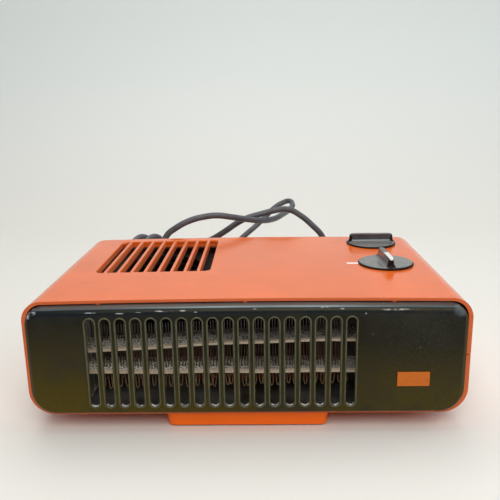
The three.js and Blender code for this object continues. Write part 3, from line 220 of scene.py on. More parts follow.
class HeaterColours(bpy.types.PropertyGroup):
    """Colours of the finishes"""

    orange: colour("Orange", "Moulded casing", (0.76, 0.135, 0.017))
    black: colour("Black", "Panel and blower wheel", (0.006, 0.006, 0.006))
    bead: colour("Bead", "Worn beads round the slots", (0.065, 0.062, 0.026))
    white: colour("White", "Pointers and index line", (0.74, 0.71, 0.69))
    badge: colour("Badge", "Bare plate on the panel", (0.54, 0.128, 0.008))
    cord: colour("Cord", "Mains cord", (0.063, 0.065, 0.075))
    floor: colour("Floor", "Pale floor", (0.78, 0.76, 0.72))
    wall: colour("Wall", "Pale backdrop", (0.76, 0.8, 0.79))


# Materials

class Finish:
    """A node material under construction, with short calls for its nodes."""

    def __init__(self, name):
        self.material = bpy.data.materials.new(name)
        self.material.use_nodes = True
        self.tree = self.material.node_tree
        self.surface = self.tree.nodes["Principled BSDF"]
        self.place = self.tree.nodes.new("ShaderNodeTexCoord").outputs["Object"]

    def node(self, kind, **settings):
        made = self.tree.nodes.new("ShaderNode" + kind)
        for key, value in settings.items():
            setattr(made, key, value)
        return made

    def feed(self, value, socket):
        """Links a value to a socket, or sets the socket to a number or a colour."""
        if hasattr(value, "is_linked"):
            self.tree.links.new(value, socket)
        else:
            socket.default_value = (*value, 1) if isinstance(value, tuple) else value

    def stretched(self, scale, turn=(0, 0, 0)):
        mapping = self.node("Mapping")
        mapping.inputs["Scale"].default_value = scale
        mapping.inputs["Rotation"].default_value = turn
        self.feed(self.place, mapping.inputs["Vector"])
        return mapping.outputs["Vector"]

    def noise(self, scale, detail=3.0, roughness=0.55, place=None):
        noise = self.node("TexNoise")
        for socket, value in (("Scale", scale), ("Detail", detail), ("Roughness", roughness),
                              ("Vector", place or self.place)):
            self.feed(value, noise.inputs[socket])
        return noise.outputs["Fac"]

    def patches(self, scale, low=0.35, high=0.65, detail=3.0):
        """Noise as patches of nothing and of one, sharper the closer its two limits are."""
        return self.span(self.noise(scale, detail), low, high)

    def dots(self, scale, size, soft=0.05):
        cells = self.node("TexVoronoi")
        cells.inputs["Scale"].default_value = scale
        self.feed(self.place, cells.inputs["Vector"])
        return self.span(cells.outputs["Distance"], size, size - soft)

    def waves(self, scale, distortion):
        """Level bands, one over the other."""
        wave = self.node("TexWave", bands_direction="Z")
        wave.inputs["Scale"].default_value = scale
        wave.inputs["Distortion"].default_value = distortion
        self.feed(self.place, wave.inputs["Vector"])
        return wave.outputs["Fac"]

    def span(self, value, low, high, to_low=0.0, to_high=1.0):
        span = self.node("MapRange")
        for socket, limit in zip(("Value", "From Min", "From Max", "To Min", "To Max"),
                                 (value, low, high, to_low, to_high)):
            self.feed(limit, span.inputs[socket])
        return span.outputs["Result"]

    def folded(self, operation, values):
        """Values or numbers made into one, two at a time."""
        total, *others = values
        for other in others:
            made = self.node("Math", operation=operation)
            self.feed(total, made.inputs[0])
            self.feed(other, made.inputs[1])
            total = made.outputs[0]
        return total

    def times(self, *values):
        return self.folded("MULTIPLY", values)

    def plus(self, *values):
        return self.folded("ADD", values)

    def most(self, *values):
        return self.folded("MAXIMUM", values)

    def mix(self, amount, first, second):
        mix = self.node("Mix", data_type="RGBA")
        for socket, value in (("Factor", amount), ("A", first), ("B", second)):
            self.feed(value, mix.inputs[socket])
        return mix.outputs["Result"]

    def part_of(self, axis, place=None):
        split = self.node("SeparateXYZ")
        self.feed(place or self.place, split.inputs[0])
        return split.outputs[axis]

    def vector(self, operation, value, constant=(0, 0, 0)):
        made = self.node("VectorMath", operation=operation)
        self.feed(value, made.inputs[0])
        made.inputs[1].default_value = constant
        return made.outputs["Value" if operation == "LENGTH" else "Vector"]

    def near(self, point, radius, stretch=1.0, along=1.0):
        """One at a point in millimetres and nothing beyond a radius from it.

        The stretch draws that out across, and where along is nothing, Y doesn't count."""
        away = self.vector("SUBTRACT", self.place, Vector(point) * MM)
        far = self.vector("LENGTH", self.vector("MULTIPLY", away, (1 / stretch, along, 1)))
        return self.span(far, radius * MM, radius * MM / 2)

    def inside(self, low, high):
        """One within a box, whose corners are in millimetres, and nothing outside it."""
        low, high = Vector(low) * MM, Vector(high) * MM
        away = self.vector("SUBTRACT", self.place, (low + high) / 2)
        share = self.vector("ABSOLUTE", self.vector("DIVIDE", away, (high - low) / 2))
        return self.span(self.most(*(self.part_of(axis, share) for axis in "XYZ")), 1, 0.998)

    def colour(self, value):
        self.feed(value, self.surface.inputs["Base Color"])
        return self

    def roughness(self, value):
        self.feed(value, self.surface.inputs["Roughness"])
        return self

    def rubbed(self, scale, low, high):
        """Roughness that wanders between two values."""
        return self.roughness(self.span(self.noise(scale), 0.3, 0.7, low, high))

    def shine(self, level, shade=(1, 1, 1)):
        self.surface.inputs["Specular IOR Level"].default_value = level
        self.surface.inputs["Specular Tint"].default_value = (*shade, 1)
        return self

    def metal(self, amount=1.0):
        self.surface.inputs["Metallic"].default_value = amount
        return self

    def bump(self, height, depth):
        bump = self.node("Bump")
        bump.inputs["Distance"].default_value = depth
        self.feed(height, bump.inputs["Height"])
        self.feed(bump.outputs["Normal"], self.surface.inputs["Normal"])
        return self


def tint(shade, factor):
    """A colour made lighter or darker."""
    return tuple(min(part * factor, 1) for part in shade)


def orange_plastic(shade):
    """Glossy moulded plastic with a faint cloudiness, dull rubs and a few specks of dirt, with painted
    light: bounce light in the window's recess, and painted shade on the front rim and over the inner
    walls.
    """
    finish = Finish("orange plastic")
    clouds = finish.mix(finish.patches(14), tint(shade, 0.93), tint(shade, 1.05))
    specks = finish.times(finish.dots(55, 0.055, 0.02), finish.patches(9, 0.55, 0.6))
    specks = finish.most(specks, finish.near((-117.5, -87, 116.4), 0.9, 1.6),
                         finish.near((142.5, -33, 115.6), 0.7, 3))
    dirty = finish.mix(specks, clouds, tint(shade, 0.3))
    # Lighter orange over the window's ribs and recess: painted bounce light.
    window = finish.inside((-148, -26.5, 106), (-34, 100.5, 114.9))
    bounce_lit_recess = finish.mix(window, dirty, (1, 0.25, 0.08))
    # Darker orange on the front rim's face: painted shade.
    rim = finish.span(finish.part_of("Y"), -0.1078, -0.1083)
    rim_shaded = finish.mix(rim, bounce_lit_recess, (0.62, 0.1, 0.009))
    # Dark brownish orange over the casing's inner walls: painted shade.
    painted_inner_shade = finish.most(finish.inside((-184.4, -105, 27), (184.4, 116, 104)),
                         finish.inside((-160, -105, 14.7), (160, 111, 109)))
    finish.colour(finish.mix(painted_inner_shade, rim_shaded, (0.14, 0.06, 0.035)))
    rubs = finish.noise(60, place=finish.stretched((0.25, 1.6, 1)))
    finish.roughness(finish.span(rubs, 0.35, 0.7, 0.13, 0.24))
    return finish.bump(finish.noise(900, 2), 0.00003).material


def foot_plastic(shade):
    """The casing's plastic made redder and brighter for the foot: painted warm reflected light."""
    finish = Finish("foot plastic")
    # Redder and brighter than the casing's colour: painted warm light.
    warm_lit = (min(shade[0] * 1.28, 1), shade[1] * 1.1, shade[2] * 0.2)
    finish.colour(finish.mix(finish.patches(20), tint(warm_lit, 0.94), warm_lit))
    finish.roughness(finish.span(finish.noise(70), 0.35, 0.7, 0.3, 0.42)).shine(0.25)
    return finish.bump(finish.noise(900, 2), 0.00003).material


# How fast the panel's crowned top falls away from its middle, per metre
CROWN_RATE = 0.0542
# Scratches on the panel's upper rounding, and in the first two rows a painted highlight at its upper left
# corner: place across, height, half height and stretch
SCRATCHES_AND_HIGHLIGHTS = (
    (-178, 104.6, 2.6, 1.2), (-174, 107.6, 1.8, 2.4), (-126, 107.6, 0.5, 12), (-102, 107, 0.5, 9),
    (-87, 107.5, 0.6, 6), (-67, 108.6, 0.6, 16), (-50, 108.8, 0.6, 6), (-40, 107.7, 0.4, 4),
    (8, 109.6, 0.5, 4), (64, 110.2, 0.9, 4), (78, 109.2, 0.6, 4), (97, 105, 1.2, 0.8),
    (121, 108.2, 0.8, 17),
)


def black_panel_plastic(shade):
    """Black moulded plastic with painted light: a painted warm reflection below, a painted bluish top, a
    painted sheen band and a painted rosy reflection of the rim along its top, and painted highlights at
    both upper corners; the scratches, mottling and dust are real.
    """
    finish = Finish("black panel plastic")
    across, height = finish.part_of("X"), finish.part_of("Z")
    level = finish.plus(height, finish.times(across, across, CROWN_RATE))
    # Warmer and lighter towards the bottom, reaching higher at the left: a painted reflection of warm
    # light from below.
    reflection_height = finish.plus(finish.span(across, -0.13, -0.06, 0, 0.016), height)
    painted_olive_reflection = finish.mix(finish.span(reflection_height, 0.098, 0.02), tint(shade, 0.9), (0.062, 0.043, 0.003))
    # Bluish black over the upper rounding: a painted reflection.
    painted_bluish_top = finish.mix(finish.span(level, 0.1, 0.1065), painted_olive_reflection, (0.004, 0.008, 0.014))
    hazy = finish.mix(finish.patches(22, 0.45, 0.75), painted_bluish_top, tint(shade, 2.4))
    mottle = finish.span(finish.noise(420, 5, 0.75), 0.48, 0.68)
    mottle = finish.times(mottle, finish.span(across, 0.1, 0.125), 0.16)
    mottled = finish.mix(mottle, hazy, (0.085, 0.09, 0.092))
    # A streaked pale patch on the upper right corner: a painted highlight.
    highlight_streaks = finish.noise(260, 4, 0.65, finish.stretched((0.4, 1, 1)))
    corner = finish.times(finish.near((174, 0, 107), 6, 1.3, 0), finish.span(highlight_streaks, 0.3, 0.6, 0.25, 0.6))
    corner_highlit = finish.mix(corner, mottled, (0.13, 0.15, 0.165))

    # A bluish band along the top of the rounding: a painted sheen.
    streaks = finish.noise(300, 3, 0.6, finish.stretched((0.06, 1, 1)))
    sheen = finish.times(
        finish.span(level, 0.1103, 0.1111), finish.span(level, 0.112, 0.1114),
        finish.span(across, -0.11, -0.02, 0.3, 1), finish.span(across, 0.13, 0.07, 0.3, 1),
        finish.span(streaks, 0.25, 0.5, 0.5, 1),
    )
    with_painted_sheen = finish.mix(sheen, corner_highlit, (0.25, 0.31, 0.35))
    # The rosy strip along the very top, streaked like wear, is a painted reflection of the orange rim.
    worn = finish.times(finish.span(level, 0.1112, 0.112), finish.span(streaks, 0.3, 0.6, 0.55, 1))
    rim_reflected = finish.mix(worn, with_painted_sheen, (0.085, 0.067, 0.065))
    # Pale streaked spots: real scratches, and a painted highlight at the upper left corner.
    marks_and_highlights = finish.most(*(finish.near((place_x, 0, up), radius, stretch, 0)
                          for place_x, up, radius, stretch in SCRATCHES_AND_HIGHLIGHTS))
    dashes = finish.noise(420, 3, 0.65, finish.stretched((0.35, 1, 1.6), (0, 0.15, 0)))
    scratches = finish.times(marks_and_highlights, finish.span(dashes, 0.42, 0.54), 0.75)
    scratched_and_highlit = finish.mix(scratches, rim_reflected, (0.5, 0.52, 0.55))
    dust = finish.times(finish.dots(95, 0.07, 0.03), finish.patches(30, 0.5, 0.62), 0.5)
    with_painted_light = finish.mix(dust, scratched_and_highlit, (0.26, 0.25, 0.19))
    side = finish.most(finish.span(across, 0.1765, 0.179), finish.span(across, -0.178, -0.1805))
    finish.colour(finish.mix(side, with_painted_light, (0.06, 0.046, 0.018)))
    rubs = finish.span(finish.noise(48), 0.3, 0.7, 0.25, 0.4)
    finish.roughness(finish.most(side, rubs)).shine(0.2, (1, 0.9, 0.5))
    return finish.bump(finish.noise(1500, 2), 0.00004).material


def black_knob_plastic():
    """Glossy black plastic, polished by fingers, with a bloom and fine dust, and a painted pale
    reflection on the flat tops of the discs.
    """
    finish = Finish("black knob plastic")
    bloom = finish.mix(finish.patches(45, 0.35, 0.7, 4), (0.024, 0.025, 0.031), (0.047, 0.048, 0.058))
    # Paler flat tops on the discs: a painted reflection.
    disc = finish.span(finish.part_of("Z"), 0.1186, 0.1182)
    flat = finish.mix(disc, bloom, (0.126, 0.124, 0.12))
    dust = finish.times(finish.dots(260, 0.09, 0.04), finish.patches(60, 0.5, 0.62), 0.4)
    finish.colour(finish.mix(dust, flat, (0.25, 0.24, 0.22))).rubbed(90, 0.13, 0.24)
    finish.surface.inputs["IOR"].default_value = 1.75
    return finish.bump(finish.noise(1600, 2), 0.00002).material


def bead_plastic(shade):
    """The rubbed plastic of the beads round the slots."""
    finish = Finish("bead plastic")
    finish.colour(finish.mix(finish.patches(120), tint(shade, 0.75), tint(shade, 1.25)))
    return finish.rubbed(200, 0.28, 0.45).material


def slot_edge_highlight():
    """The slots' lower inner edges, pale in patches: a painted highlight."""
    finish = Finish("worn slot edge")
    pale = finish.patches(430, 0.42, 0.56, 2)
    finish.colour(finish.mix(pale, (0.17, 0.175, 0.19), (0.85, 0.85, 0.82)))
    return finish.rubbed(150, 0.16, 0.3).material


def plain_plastic(name, shade, roughness, level=0.5):
    """Plain moulded plastic with a little soiling."""
    finish = Finish(name)
    finish.colour(finish.mix(finish.patches(320, 0.55, 0.75), shade, tint(shade, 0.8)))
    finish.rubbed(150, roughness - 0.06, roughness + 0.08).shine(level)
    return finish.bump(finish.noise(1500, 2), 0.00002).material


def rubber(name, shade, roughness):
    """Soft plastic or rubber with a dull bloom."""
    finish = Finish(name)
    finish.colour(finish.mix(finish.patches(70, 0.4, 0.7), shade, tint(shade, 1.5)))
    finish.rubbed(160, roughness - 0.08, roughness + 0.1)
    return finish.bump(finish.noise(2200, 2), 0.00004).material


def sheet_metal(name, shade, roughness=0.36, stretch=(1, 8, 8), stain=0.7):
    """Rolled sheet metal with fine lines and dull stains."""
    finish = Finish(name)
    lines = finish.noise(260, 3, 0.6, finish.stretched(stretch))
    lined = finish.mix(lines, tint(shade, 0.8), tint(shade, 1.15))
    finish.colour(finish.mix(finish.patches(28, 0.42, 0.7, 5), lined, tint(shade, stain)))
    finish.roughness(finish.span(lines, 0.3, 0.7, roughness - 0.08, roughness + 0.12))
    return finish.metal().bump(lines, 0.00002).material


def duct_sheet():
    """The duct's sheet, browned by heat, with a painted orange reflection on its floor and a pale left
    wall whose paleness is painted light.
    """
    finish = Finish("duct sheet")
    stains = finish.patches(36, 0.4, 0.68, 5)
    browned = finish.mix(stains, (0.13, 0.12, 0.11), (0.05, 0.035, 0.026))
    # Orange-brown on the floor at the back: a painted reflection of the orange casing.
    painted_orange_reflection = finish.mix(finish.inside((-60, -60, 18), (92, -20, 25.5)), browned, (0.34, 0.09, 0.025))
    streaks = finish.span(finish.noise(320, 2, 0.5, finish.stretched((1, 1, 0.03))), 0.42, 0.56)
    # The pale streaked left wall is painted light.
    pale = finish.mix(streaks, (0.4, 0.36, 0.32), (0.92, 0.86, 0.76))
    left = finish.span(finish.part_of("X"), -0.137, -0.1385)
    finish.colour(finish.mix(left, painted_orange_reflection, pale)).rubbed(90, 0.45, 0.62)
    return finish.metal(0.35).bump(stains, 0.00003).material


def pressed_mica(name, dark, light, plain):
    """Pressed mica flakes, speckled dark and pale, with a plain front strip, paler to the left and duller
    to the right, which is painted light across the boards.
    """
    finish = Finish(name)
    flakes = finish.noise(620, 3, 0.62)
    # Paler to the left and duller to the right: painted light across the boards.
    with_painted_light = finish.mix(finish.span(finish.part_of("X"), 0.01, -0.05), tint(light, 0.62), light)
    speckled = finish.mix(finish.span(flakes, 0.43, 0.49), dark, with_painted_light)
    grains = finish.times(finish.span(finish.noise(1500, 2, 0.5), 0.42, 0.6), 0.2)
    worn = finish.mix(grains, speckled, tint(dark, 0.8))
    cut = finish.mix(finish.span(flakes, 0.35, 0.7), plain, tint(plain, 0.75))
    strip = finish.plus(finish.span(flakes, 0.3, 0.7, -0.001, 0.001), finish.part_of("Y"))
    finish.colour(finish.mix(finish.span(strip, -0.0955, -0.0943), cut, worn))
    finish.roughness(finish.span(flakes, 0.3, 0.7, 0.5, 0.75))
    return finish.bump(flakes, 0.0002).material


def heating_wire():
    """Wire that has turned brown with heat, paler at the bends below the lower board, and lighter above
    the upper board, where the lightness is painted light.
    """
    finish = Finish("heating wire")
    height = finish.part_of("Z")
    browned = finish.mix(finish.patches(160), (0.06, 0.03, 0.02), (0.15, 0.08, 0.05))
    # Lighter above the upper board: painted light on the wire.
    above = finish.mix(finish.span(height, 0.074, 0.078), browned, (0.22, 0.19, 0.17))
    finish.colour(finish.mix(finish.span(height, 0.044, 0.036), above, (0.5, 0.29, 0.15)))
    return finish.roughness(0.42).metal(0.6).material


def stacked_iron():
    """Edges of varnished iron sheets, stacked upwards."""
    finish = Finish("stacked iron")
    sheets = finish.waves(320, 0.4)
    iron = finish.mix(sheets, (0.06, 0.062, 0.065), (0.19, 0.19, 0.195))
    rust = finish.times(finish.patches(120, 0.55, 0.7, 4), 0.5)
    finish.colour(finish.mix(rust, iron, (0.16, 0.07, 0.03)))
    return finish.roughness(0.45).metal(0.8).bump(sheets, 0.0002).material


def wound_copper():
    """Enamelled copper wire, laid side by side."""
    finish = Finish("wound copper")
    turns = finish.waves(420, 0.6)
    finish.colour(finish.mix(turns, (0.2, 0.06, 0.02), (0.55, 0.21, 0.08)))
    return finish.roughness(0.32).metal(0.85).bump(turns, 0.0003).material


FINISHES = {}


def make_finishes(colours):
    """Every finish of the heater, by the name that the operators ask for."""
    names = ("orange", "black", "bead", "white", "badge", "cord")
    orange, black, bead, white, badge, cord = (tuple(getattr(colours, name)) for name in names)
    FINISHES.update({
        "orange": orange_plastic(orange),
        "panel": black_panel_plastic(black),
        "knob": black_knob_plastic(),
        "bead": bead_plastic(bead),
        "white": plain_plastic("white mark", white, 0.35),
        "badge": plain_plastic("badge plate", badge, 0.38, 0.25),
        # The foot's finish carries painted warm light.
        "foot": foot_plastic(orange),
        # The pale finish on the slots' lower edges is a painted highlight.
        "crescent": slot_edge_highlight(),
        # A darker copy of the knob plastic on the discs' skirts and the grips' lower ends: painted shade.
        "skirt": plain_plastic("knob skirt", (0.012, 0.006, 0.008), 0.45, 0.1),
        "index": plain_plastic("index line", (0.97, 0.96, 0.94), 0.35),
        "worn": plain_plastic("worn mark", (0.05, 0.05, 0.052), 0.35),
        "wheel": plain_plastic("wheel plastic", tint(black, 1.6), 0.4),
        "bakelite": plain_plastic("bakelite", (0.05, 0.026, 0.018), 0.35),
        "cord": rubber("cord sheath", cord, 0.42),
        "rubber": rubber("moulded rubber", tint(cord, 0.45), 0.55),
        "zinc": sheet_metal("zinc sheet", (0.38, 0.39, 0.4)),
        # Near black: painted shade on the blower's scroll and cover.
        "aged": plain_plastic("aged sheet", (0.009, 0.008, 0.009), 0.6, 0.15),
        "duct": duct_sheet(),
        "bright": sheet_metal("bright steel", (0.55, 0.55, 0.54), 0.28, (6, 6, 6), 0.8),
        "bronze": sheet_metal("bearing bronze", (0.34, 0.22, 0.09), 0.4, (6, 6, 6)),
        "brass": sheet_metal("pin brass", (0.62, 0.42, 0.15), 0.27, (8, 2, 8), 0.75),
        "mica": pressed_mica("pressed mica", (0.07, 0.053, 0.04), (1, 0.93, 0.82), (0.95, 0.74, 0.55)),
        "mica edge": pressed_mica("cut mica edge", (0.78, 0.62, 0.46), (0.92, 0.76, 0.58),
                                  (0.86, 0.7, 0.52)),
        "wire": heating_wire(),
        "iron": stacked_iron(),
        "copper": wound_copper(),
    })


# Mesh helpers. Sizes are in millimetres until a piece is finished.

def facing_out(mesh):
    """Turns the faces of closed forms outwards."""
    bmesh.ops.recalc_face_normals(mesh, faces=mesh.faces[:])
    return mesh


def bevelled(mesh, parts, radius, steps, affect="EDGES"):
    """Rounds edges over, or the corners of a face."""
    bmesh.ops.bevel(mesh, geom=parts, offset=radius, offset_type="OFFSET", segments=steps,
                    profile=0.5, affect=affect, material=-1)
    return mesh


def opened(mesh, faces):
    """Takes faces away and leaves their edges."""
    bmesh.ops.delete(mesh, geom=faces, context="FACES_ONLY")


def thickened(mesh, wall):
    """Gives open faces a wall."""
    facing_out(mesh)
    bmesh.ops.solidify(mesh, geom=mesh.faces[:], thickness=wall)


def block(low, high):
    """A box between two corners."""
    mesh = bmesh.new()
    low, high = Vector(low), Vector(high)
    corners = bmesh.ops.create_cube(mesh, size=1)["verts"]
    bmesh.ops.scale(mesh, vec=high - low, verts=corners)
    bmesh.ops.translate(mesh, vec=(low + high) / 2, verts=corners)
    return mesh


def turned(profile, steps, ring=False):
    """A form turned about Z from (radius, height) points, whose ends are on the axis or meet."""
    mesh = bmesh.new()
    points = [mesh.verts.new((radius, 0, height)) for radius, height in profile]
    following = points[1:] + points[:1] if ring else points[1:]
    edges = [mesh.edges.new(pair) for pair in zip(points, following)]
    bmesh.ops.spin(mesh, geom=points + edges, cent=(0, 0, 0), axis=(0, 0, 1), dvec=(0, 0, 0),
                   angle=2 * math.pi, steps=steps, use_merge=True)
    bmesh.ops.remove_doubles(mesh, verts=mesh.verts[:], dist=0.0005)
    return facing_out(mesh)


def tube(x, y, low, high, outer, inner, steps=24):
    """An upright tube."""
    wall = turned([(inner, low), (outer, low), (outer, high), (inner, high)], steps, ring=True)
    return moved(wall, (x, y, 0))


def post(x, y, low, high, radius, steps=24):
    """An upright round bar."""
    return moved(turned([(0, low), (radius, low), (radius, high), (0, high)], steps), (x, y, 0))


def outline_face(left, right, low, high, corner, steps, low_corner=None, crown=0):
    """One upright face at y = 0 with rounded corners and, if asked for, a crowned top edge."""
    mesh = bmesh.new()
    corners = [mesh.verts.new((x, 0, z))
               for x, z in ((left, low), (right, low), (right, high), (left, high))]
    mesh.faces.new(corners)
    bevelled(mesh, corners[2:], corner, steps, "VERTICES")
    bevelled(mesh, corners[:2], low_corner or corner, steps, "VERTICES")
    if crown:
        top = [e for e in mesh.edges
               if all(v.co.z > high - FLUSH for v in e.verts) and e.calc_length() > corner]
        bmesh.ops.subdivide_edges(mesh, edges=top, cuts=15)
        reach = (right - left) / 2 - corner
        for v in mesh.verts:
            if v.co.z > (low + high) / 2:
                v.co.z -= crown * min(1, abs(v.co.x - (left + right) / 2) / reach) ** 2
    return mesh


def pushed(mesh, faces, shift):
    """Extrudes faces and returns the moved ones."""
    edges = {edge for face in faces for edge in face.edges}
    made = bmesh.ops.extrude_face_region(mesh, geom=[*faces, *edges])["geom"]
    points = [part for part in made if isinstance(part, bmesh.types.BMVert)]
    bmesh.ops.translate(mesh, vec=shift, verts=points)
    return [part for part in made if isinstance(part, bmesh.types.BMFace)]


def quarter(steps):
    """How much the two sides of a quarter circle grow by in each of some steps along it."""
    for step in range(steps):
        before, after = (QUARTER * part / steps for part in (step, step + 1))
        yield math.cos(before) - math.cos(after), math.sin(after) - math.sin(before)


def inset(mesh, face, thickness, depth=0):
    """Draws a face in and, if asked for, out of its plane."""
    bmesh.ops.inset_region(mesh, faces=[face], use_boundary=True, use_even_offset=True,
                           thickness=thickness, depth=depth)


def rounded_over(mesh, face, inward, outward, steps):
    """Rounds a face's rim over by insets that follow a quarter of an ellipse."""
    facing_out(mesh)
    for gained_in, gained_out in quarter(steps):
        inset(mesh, face, inward * gained_in, outward * gained_out)


def placed(name, data):
    """An object in the scene."""
    made = bpy.data.objects.new(name, data)
    bpy.context.scene.collection.objects.link(made)
    return made


def as_object(mesh, name="shape"):
    """A bare object in the scene that holds a mesh."""
    data = bpy.data.meshes.new(name)
    mesh.to_mesh(data)
    mesh.free()
    return placed(name, data)


def combined(mesh, tool, operation="DIFFERENCE"):
    """The mesh after a boolean with the tool, both used up."""
    body, cutter = as_object(mesh), as_object(tool)
    boolean = body.modifiers.new("Boolean", "BOOLEAN")
    boolean.object, boolean.operation, boolean.solver = cutter, operation, "EXACT"
    cut = body.evaluated_get(bpy.context.evaluated_depsgraph_get())
    result = bmesh.new()
    result.from_mesh(cut.to_mesh())
    cut.to_mesh_clear()
    for used in (body, cutter):
        data = used.data
        bpy.data.objects.remove(used)
        bpy.data.meshes.remove(data)
    bmesh.ops.remove_doubles(result, verts=result.verts[:], dist=0.001)
    return result


def joined(meshes):
    """Several meshes in one, with their closed forms kept apart."""
    whole = bmesh.new()
    for mesh in meshes:
        data = bpy.data.meshes.new("part")
        mesh.to_mesh(data)
        mesh.free()
        whole.from_mesh(data)
        bpy.data.meshes.remove(data)
    return whole


def moved(mesh, shift=(0, 0, 0), turn=0, axis="Z"):
    """Turns a mesh about an axis through the origin and then shifts it."""
    bmesh.ops.rotate(mesh, cent=(0, 0, 0), matrix=Matrix.Rotation(turn, 3, axis), verts=mesh.verts[:])
    bmesh.ops.translate(mesh, vec=shift, verts=mesh.verts[:])
    return mesh


def spread(middle, pitch, count):
    """Some places at an even pitch round a middle."""
    return [middle + (at - (count - 1) / 2) * pitch for at in range(count)]


def repeated(mesh, places):
    """The same form at several places across, in one mesh."""
    return joined([moved(mesh.copy(), (x, 0, 0)) for x in places])


def kept_between(mesh, low, high):
    """The slice of a closed wall between two heights, with its cuts closed."""
    for height, away in ((low, -1), (high, 1)):
        cut = bmesh.ops.bisect_plane(
            mesh, geom=mesh.verts[:] + mesh.edges[:] + mesh.faces[:], plane_co=(0, 0, height),
            plane_no=(0, 0, away), clear_outer=True,
        )["geom_cut"]
        rims = [part for part in cut if isinstance(part, bmesh.types.BMEdge)]
        if rims:
            bmesh.ops.holes_fill(mesh, edges=rims, sides=0)
    return mesh


def finished(name, mesh, finish, nodes=(), body="heater", smooth=32):
    """Makes the piece's object in metres, gives it its finish and puts it on its body."""
    facing_out(mesh)
    bmesh.ops.scale(mesh, vec=(MM, MM, MM), verts=mesh.verts[:])
    piece = as_object(mesh, name)
    piece.data.shade_smooth()
    piece.data.set_sharp_from_angle(angle=math.radians(smooth))
    weighting = piece.modifiers.new("Flat faces", "WEIGHTED_NORMAL")
    weighting.weight, weighting.keep_sharp = 100, True
    return dressed(piece, finish, nodes, body)


def dressed(piece, finish, nodes=(), body="heater"):
    """Gives a piece its finish and its body."""
    for part in finish if isinstance(finish, tuple) else (finish,):
        piece.data.materials.append(FINISHES[part])
    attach(piece, body)
    if nodes:
        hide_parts(*nodes)
    return piece


def finish_nodes(finish, *nodes):
    """Puts a finish on CAD nodes that keep their own shape."""
    for node in nodes:
        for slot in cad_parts[node].material_slots:
            slot.material = FINISHES[finish]


# Casing

# Radii in millimetres: the holes for the knobs and the gland, the bosses and posts of the casing's
# screws, the holes for their heads, the foot's bosses, and the holes for the screws' threads
KNOB_HOLE, GLAND_HOLE = 6.8, 6.3
BOSS, HEAD_HOLE = 6.5, 3.9
FOOT_BOSS, THREAD_HOLE = 4.2, 2.05
# How far bosses and posts stand from the seam, and the height of the foot's bosses over the outside
SEAM_PLAY, FOOT_BOSS_TOP = 0.25, 11.8
# The small corners of the window's openings, and how far a cutter reaches past what it cuts
SMALL_CORNER, OVERCUT = 0.6, 5
# The lip inside the seam: its wall, its gap from the sleeve, how far it reaches below and above the
# seam, and how far back it starts
LIP_WALL, LIP_GAP, LIP_BELOW, LIP_ABOVE, LIP_BACK = 1.4, 0.3, 5, 3, 20
# The small tabs over the panel: places across, half width, length, and their height under the top
TAB_PLACES, TAB_HALF, TAB_LENGTH, TAB_HEIGHT = (-121, 0, 121), 1.3, 5.8, 1.2


def sleeve(sizes, drawn, wall):
    """The sleeve as one closed wall, open to the front, drawn in evenly from the outside."""
    low, high = CASING_LOW, CASING_HIGH
    mesh = outline_face(low.x + drawn, high.x - drawn, low.z + drawn, high.z - drawn,
                        sizes.corner - drawn, 12, sizes.low_corner - drawn, sizes.crown)
    moved(mesh, (0, low.y, 0))
    back = pushed(mesh, mesh.faces[:], (0, high.y - low.y - sizes.back_corner, 0))[0]
    rounding = sizes.back_corner - drawn
    rounded_over(mesh, back, rounding, rounding, 6)
    opened(mesh, [f for f in mesh.faces if all(v.co.y < low.y + FLUSH for v in f.verts)])
    outer = set(mesh.verts)
    thickened(mesh, wall)
    for v in mesh.verts:
        if v not in outer and v.co.y < low.y + 1 and abs(v.co.x) > high.x - sizes.corner:
            share = (abs(v.co.x) - high.x + sizes.corner) / (sizes.corner - wall)
            v.co.x -= math.copysign(sizes.side_lip * share, v.co.x)
    return mesh


def top_at(sizes, x):
    """Height of the crowned top over a place across the casing."""
    reach = (CASING_HIGH.x - CASING_LOW.x) / 2 - sizes.corner
    return CASING_HIGH.z - sizes.crown * (x / reach) ** 2


def casing_holes():
    """Cutters for the knobs' spindles, the gland and the screws."""
    low, high = CASING_LOW, CASING_HIGH
    x, z, _, _ = lying("cord_gland")
    knobs = (centre_of("thermostat_spindle"), centre_of("switch_spindle"))
    return joined([
        *(post(*knob, high.z - 20, high.z + OVERCUT, KNOB_HOLE, 32) for knob in knobs),
        moved(post(0, 0, -30, 30, GLAND_HOLE, 32), (x, high.y, z), QUARTER, "X"),
        *(post(*screw, low.z - OVERCUT, low.z + 30, HEAD_HOLE) for screw in centres("casing_screw")),
        *(post(*screw, low.z - OVERCUT, low.z + 12, THREAD_HOLE) for screw in centres("foot_screw")),
    ])


def window_cutters(sizes, middle_x, middle_y):
    """One cutter for each opening of the window, flared at its top so that the edge is round."""
    width, depth, edge = sizes.vent_gap, sizes.vent_depth, sizes.vent_edge
    cutters = []
    for vent, x in enumerate(spread(middle_x, sizes.vent_pitch, sizes.vent_count)):
        left = -width / 2 if vent else sizes.vent_less - width / 2
        mesh = block((left, -depth / 2, -sizes.rib_depth - 4), (width / 2, depth / 2, -edge))
        outer_side = {0: -1, sizes.vent_count - 1: 1}.get(vent, 0)
        upright = [e for e in mesh.edges if abs(e.verts[0].co.z - e.verts[1].co.z) > 1]
        outer = [e for e in upright if e.verts[0].co.x * outer_side > 0]
        bevelled(mesh, [e for e in upright if e not in outer], SMALL_CORNER, 2)
        if outer:
            bevelled(mesh, outer, sizes.vent_corner, 6)
        top = max(mesh.faces, key=lambda f: f.calc_center_median().z)
        rounded_over(mesh, top, -edge, edge, 4)
        pushed(mesh, [top], (0, 0, 3))
        bmesh.ops.delete(mesh, geom=[f for f in mesh.faces if f.calc_area() < 1e-9], context="FACES")
        cutters.append(moved(mesh, (x, middle_y, top_at(sizes, x))))
    return joined(cutters)


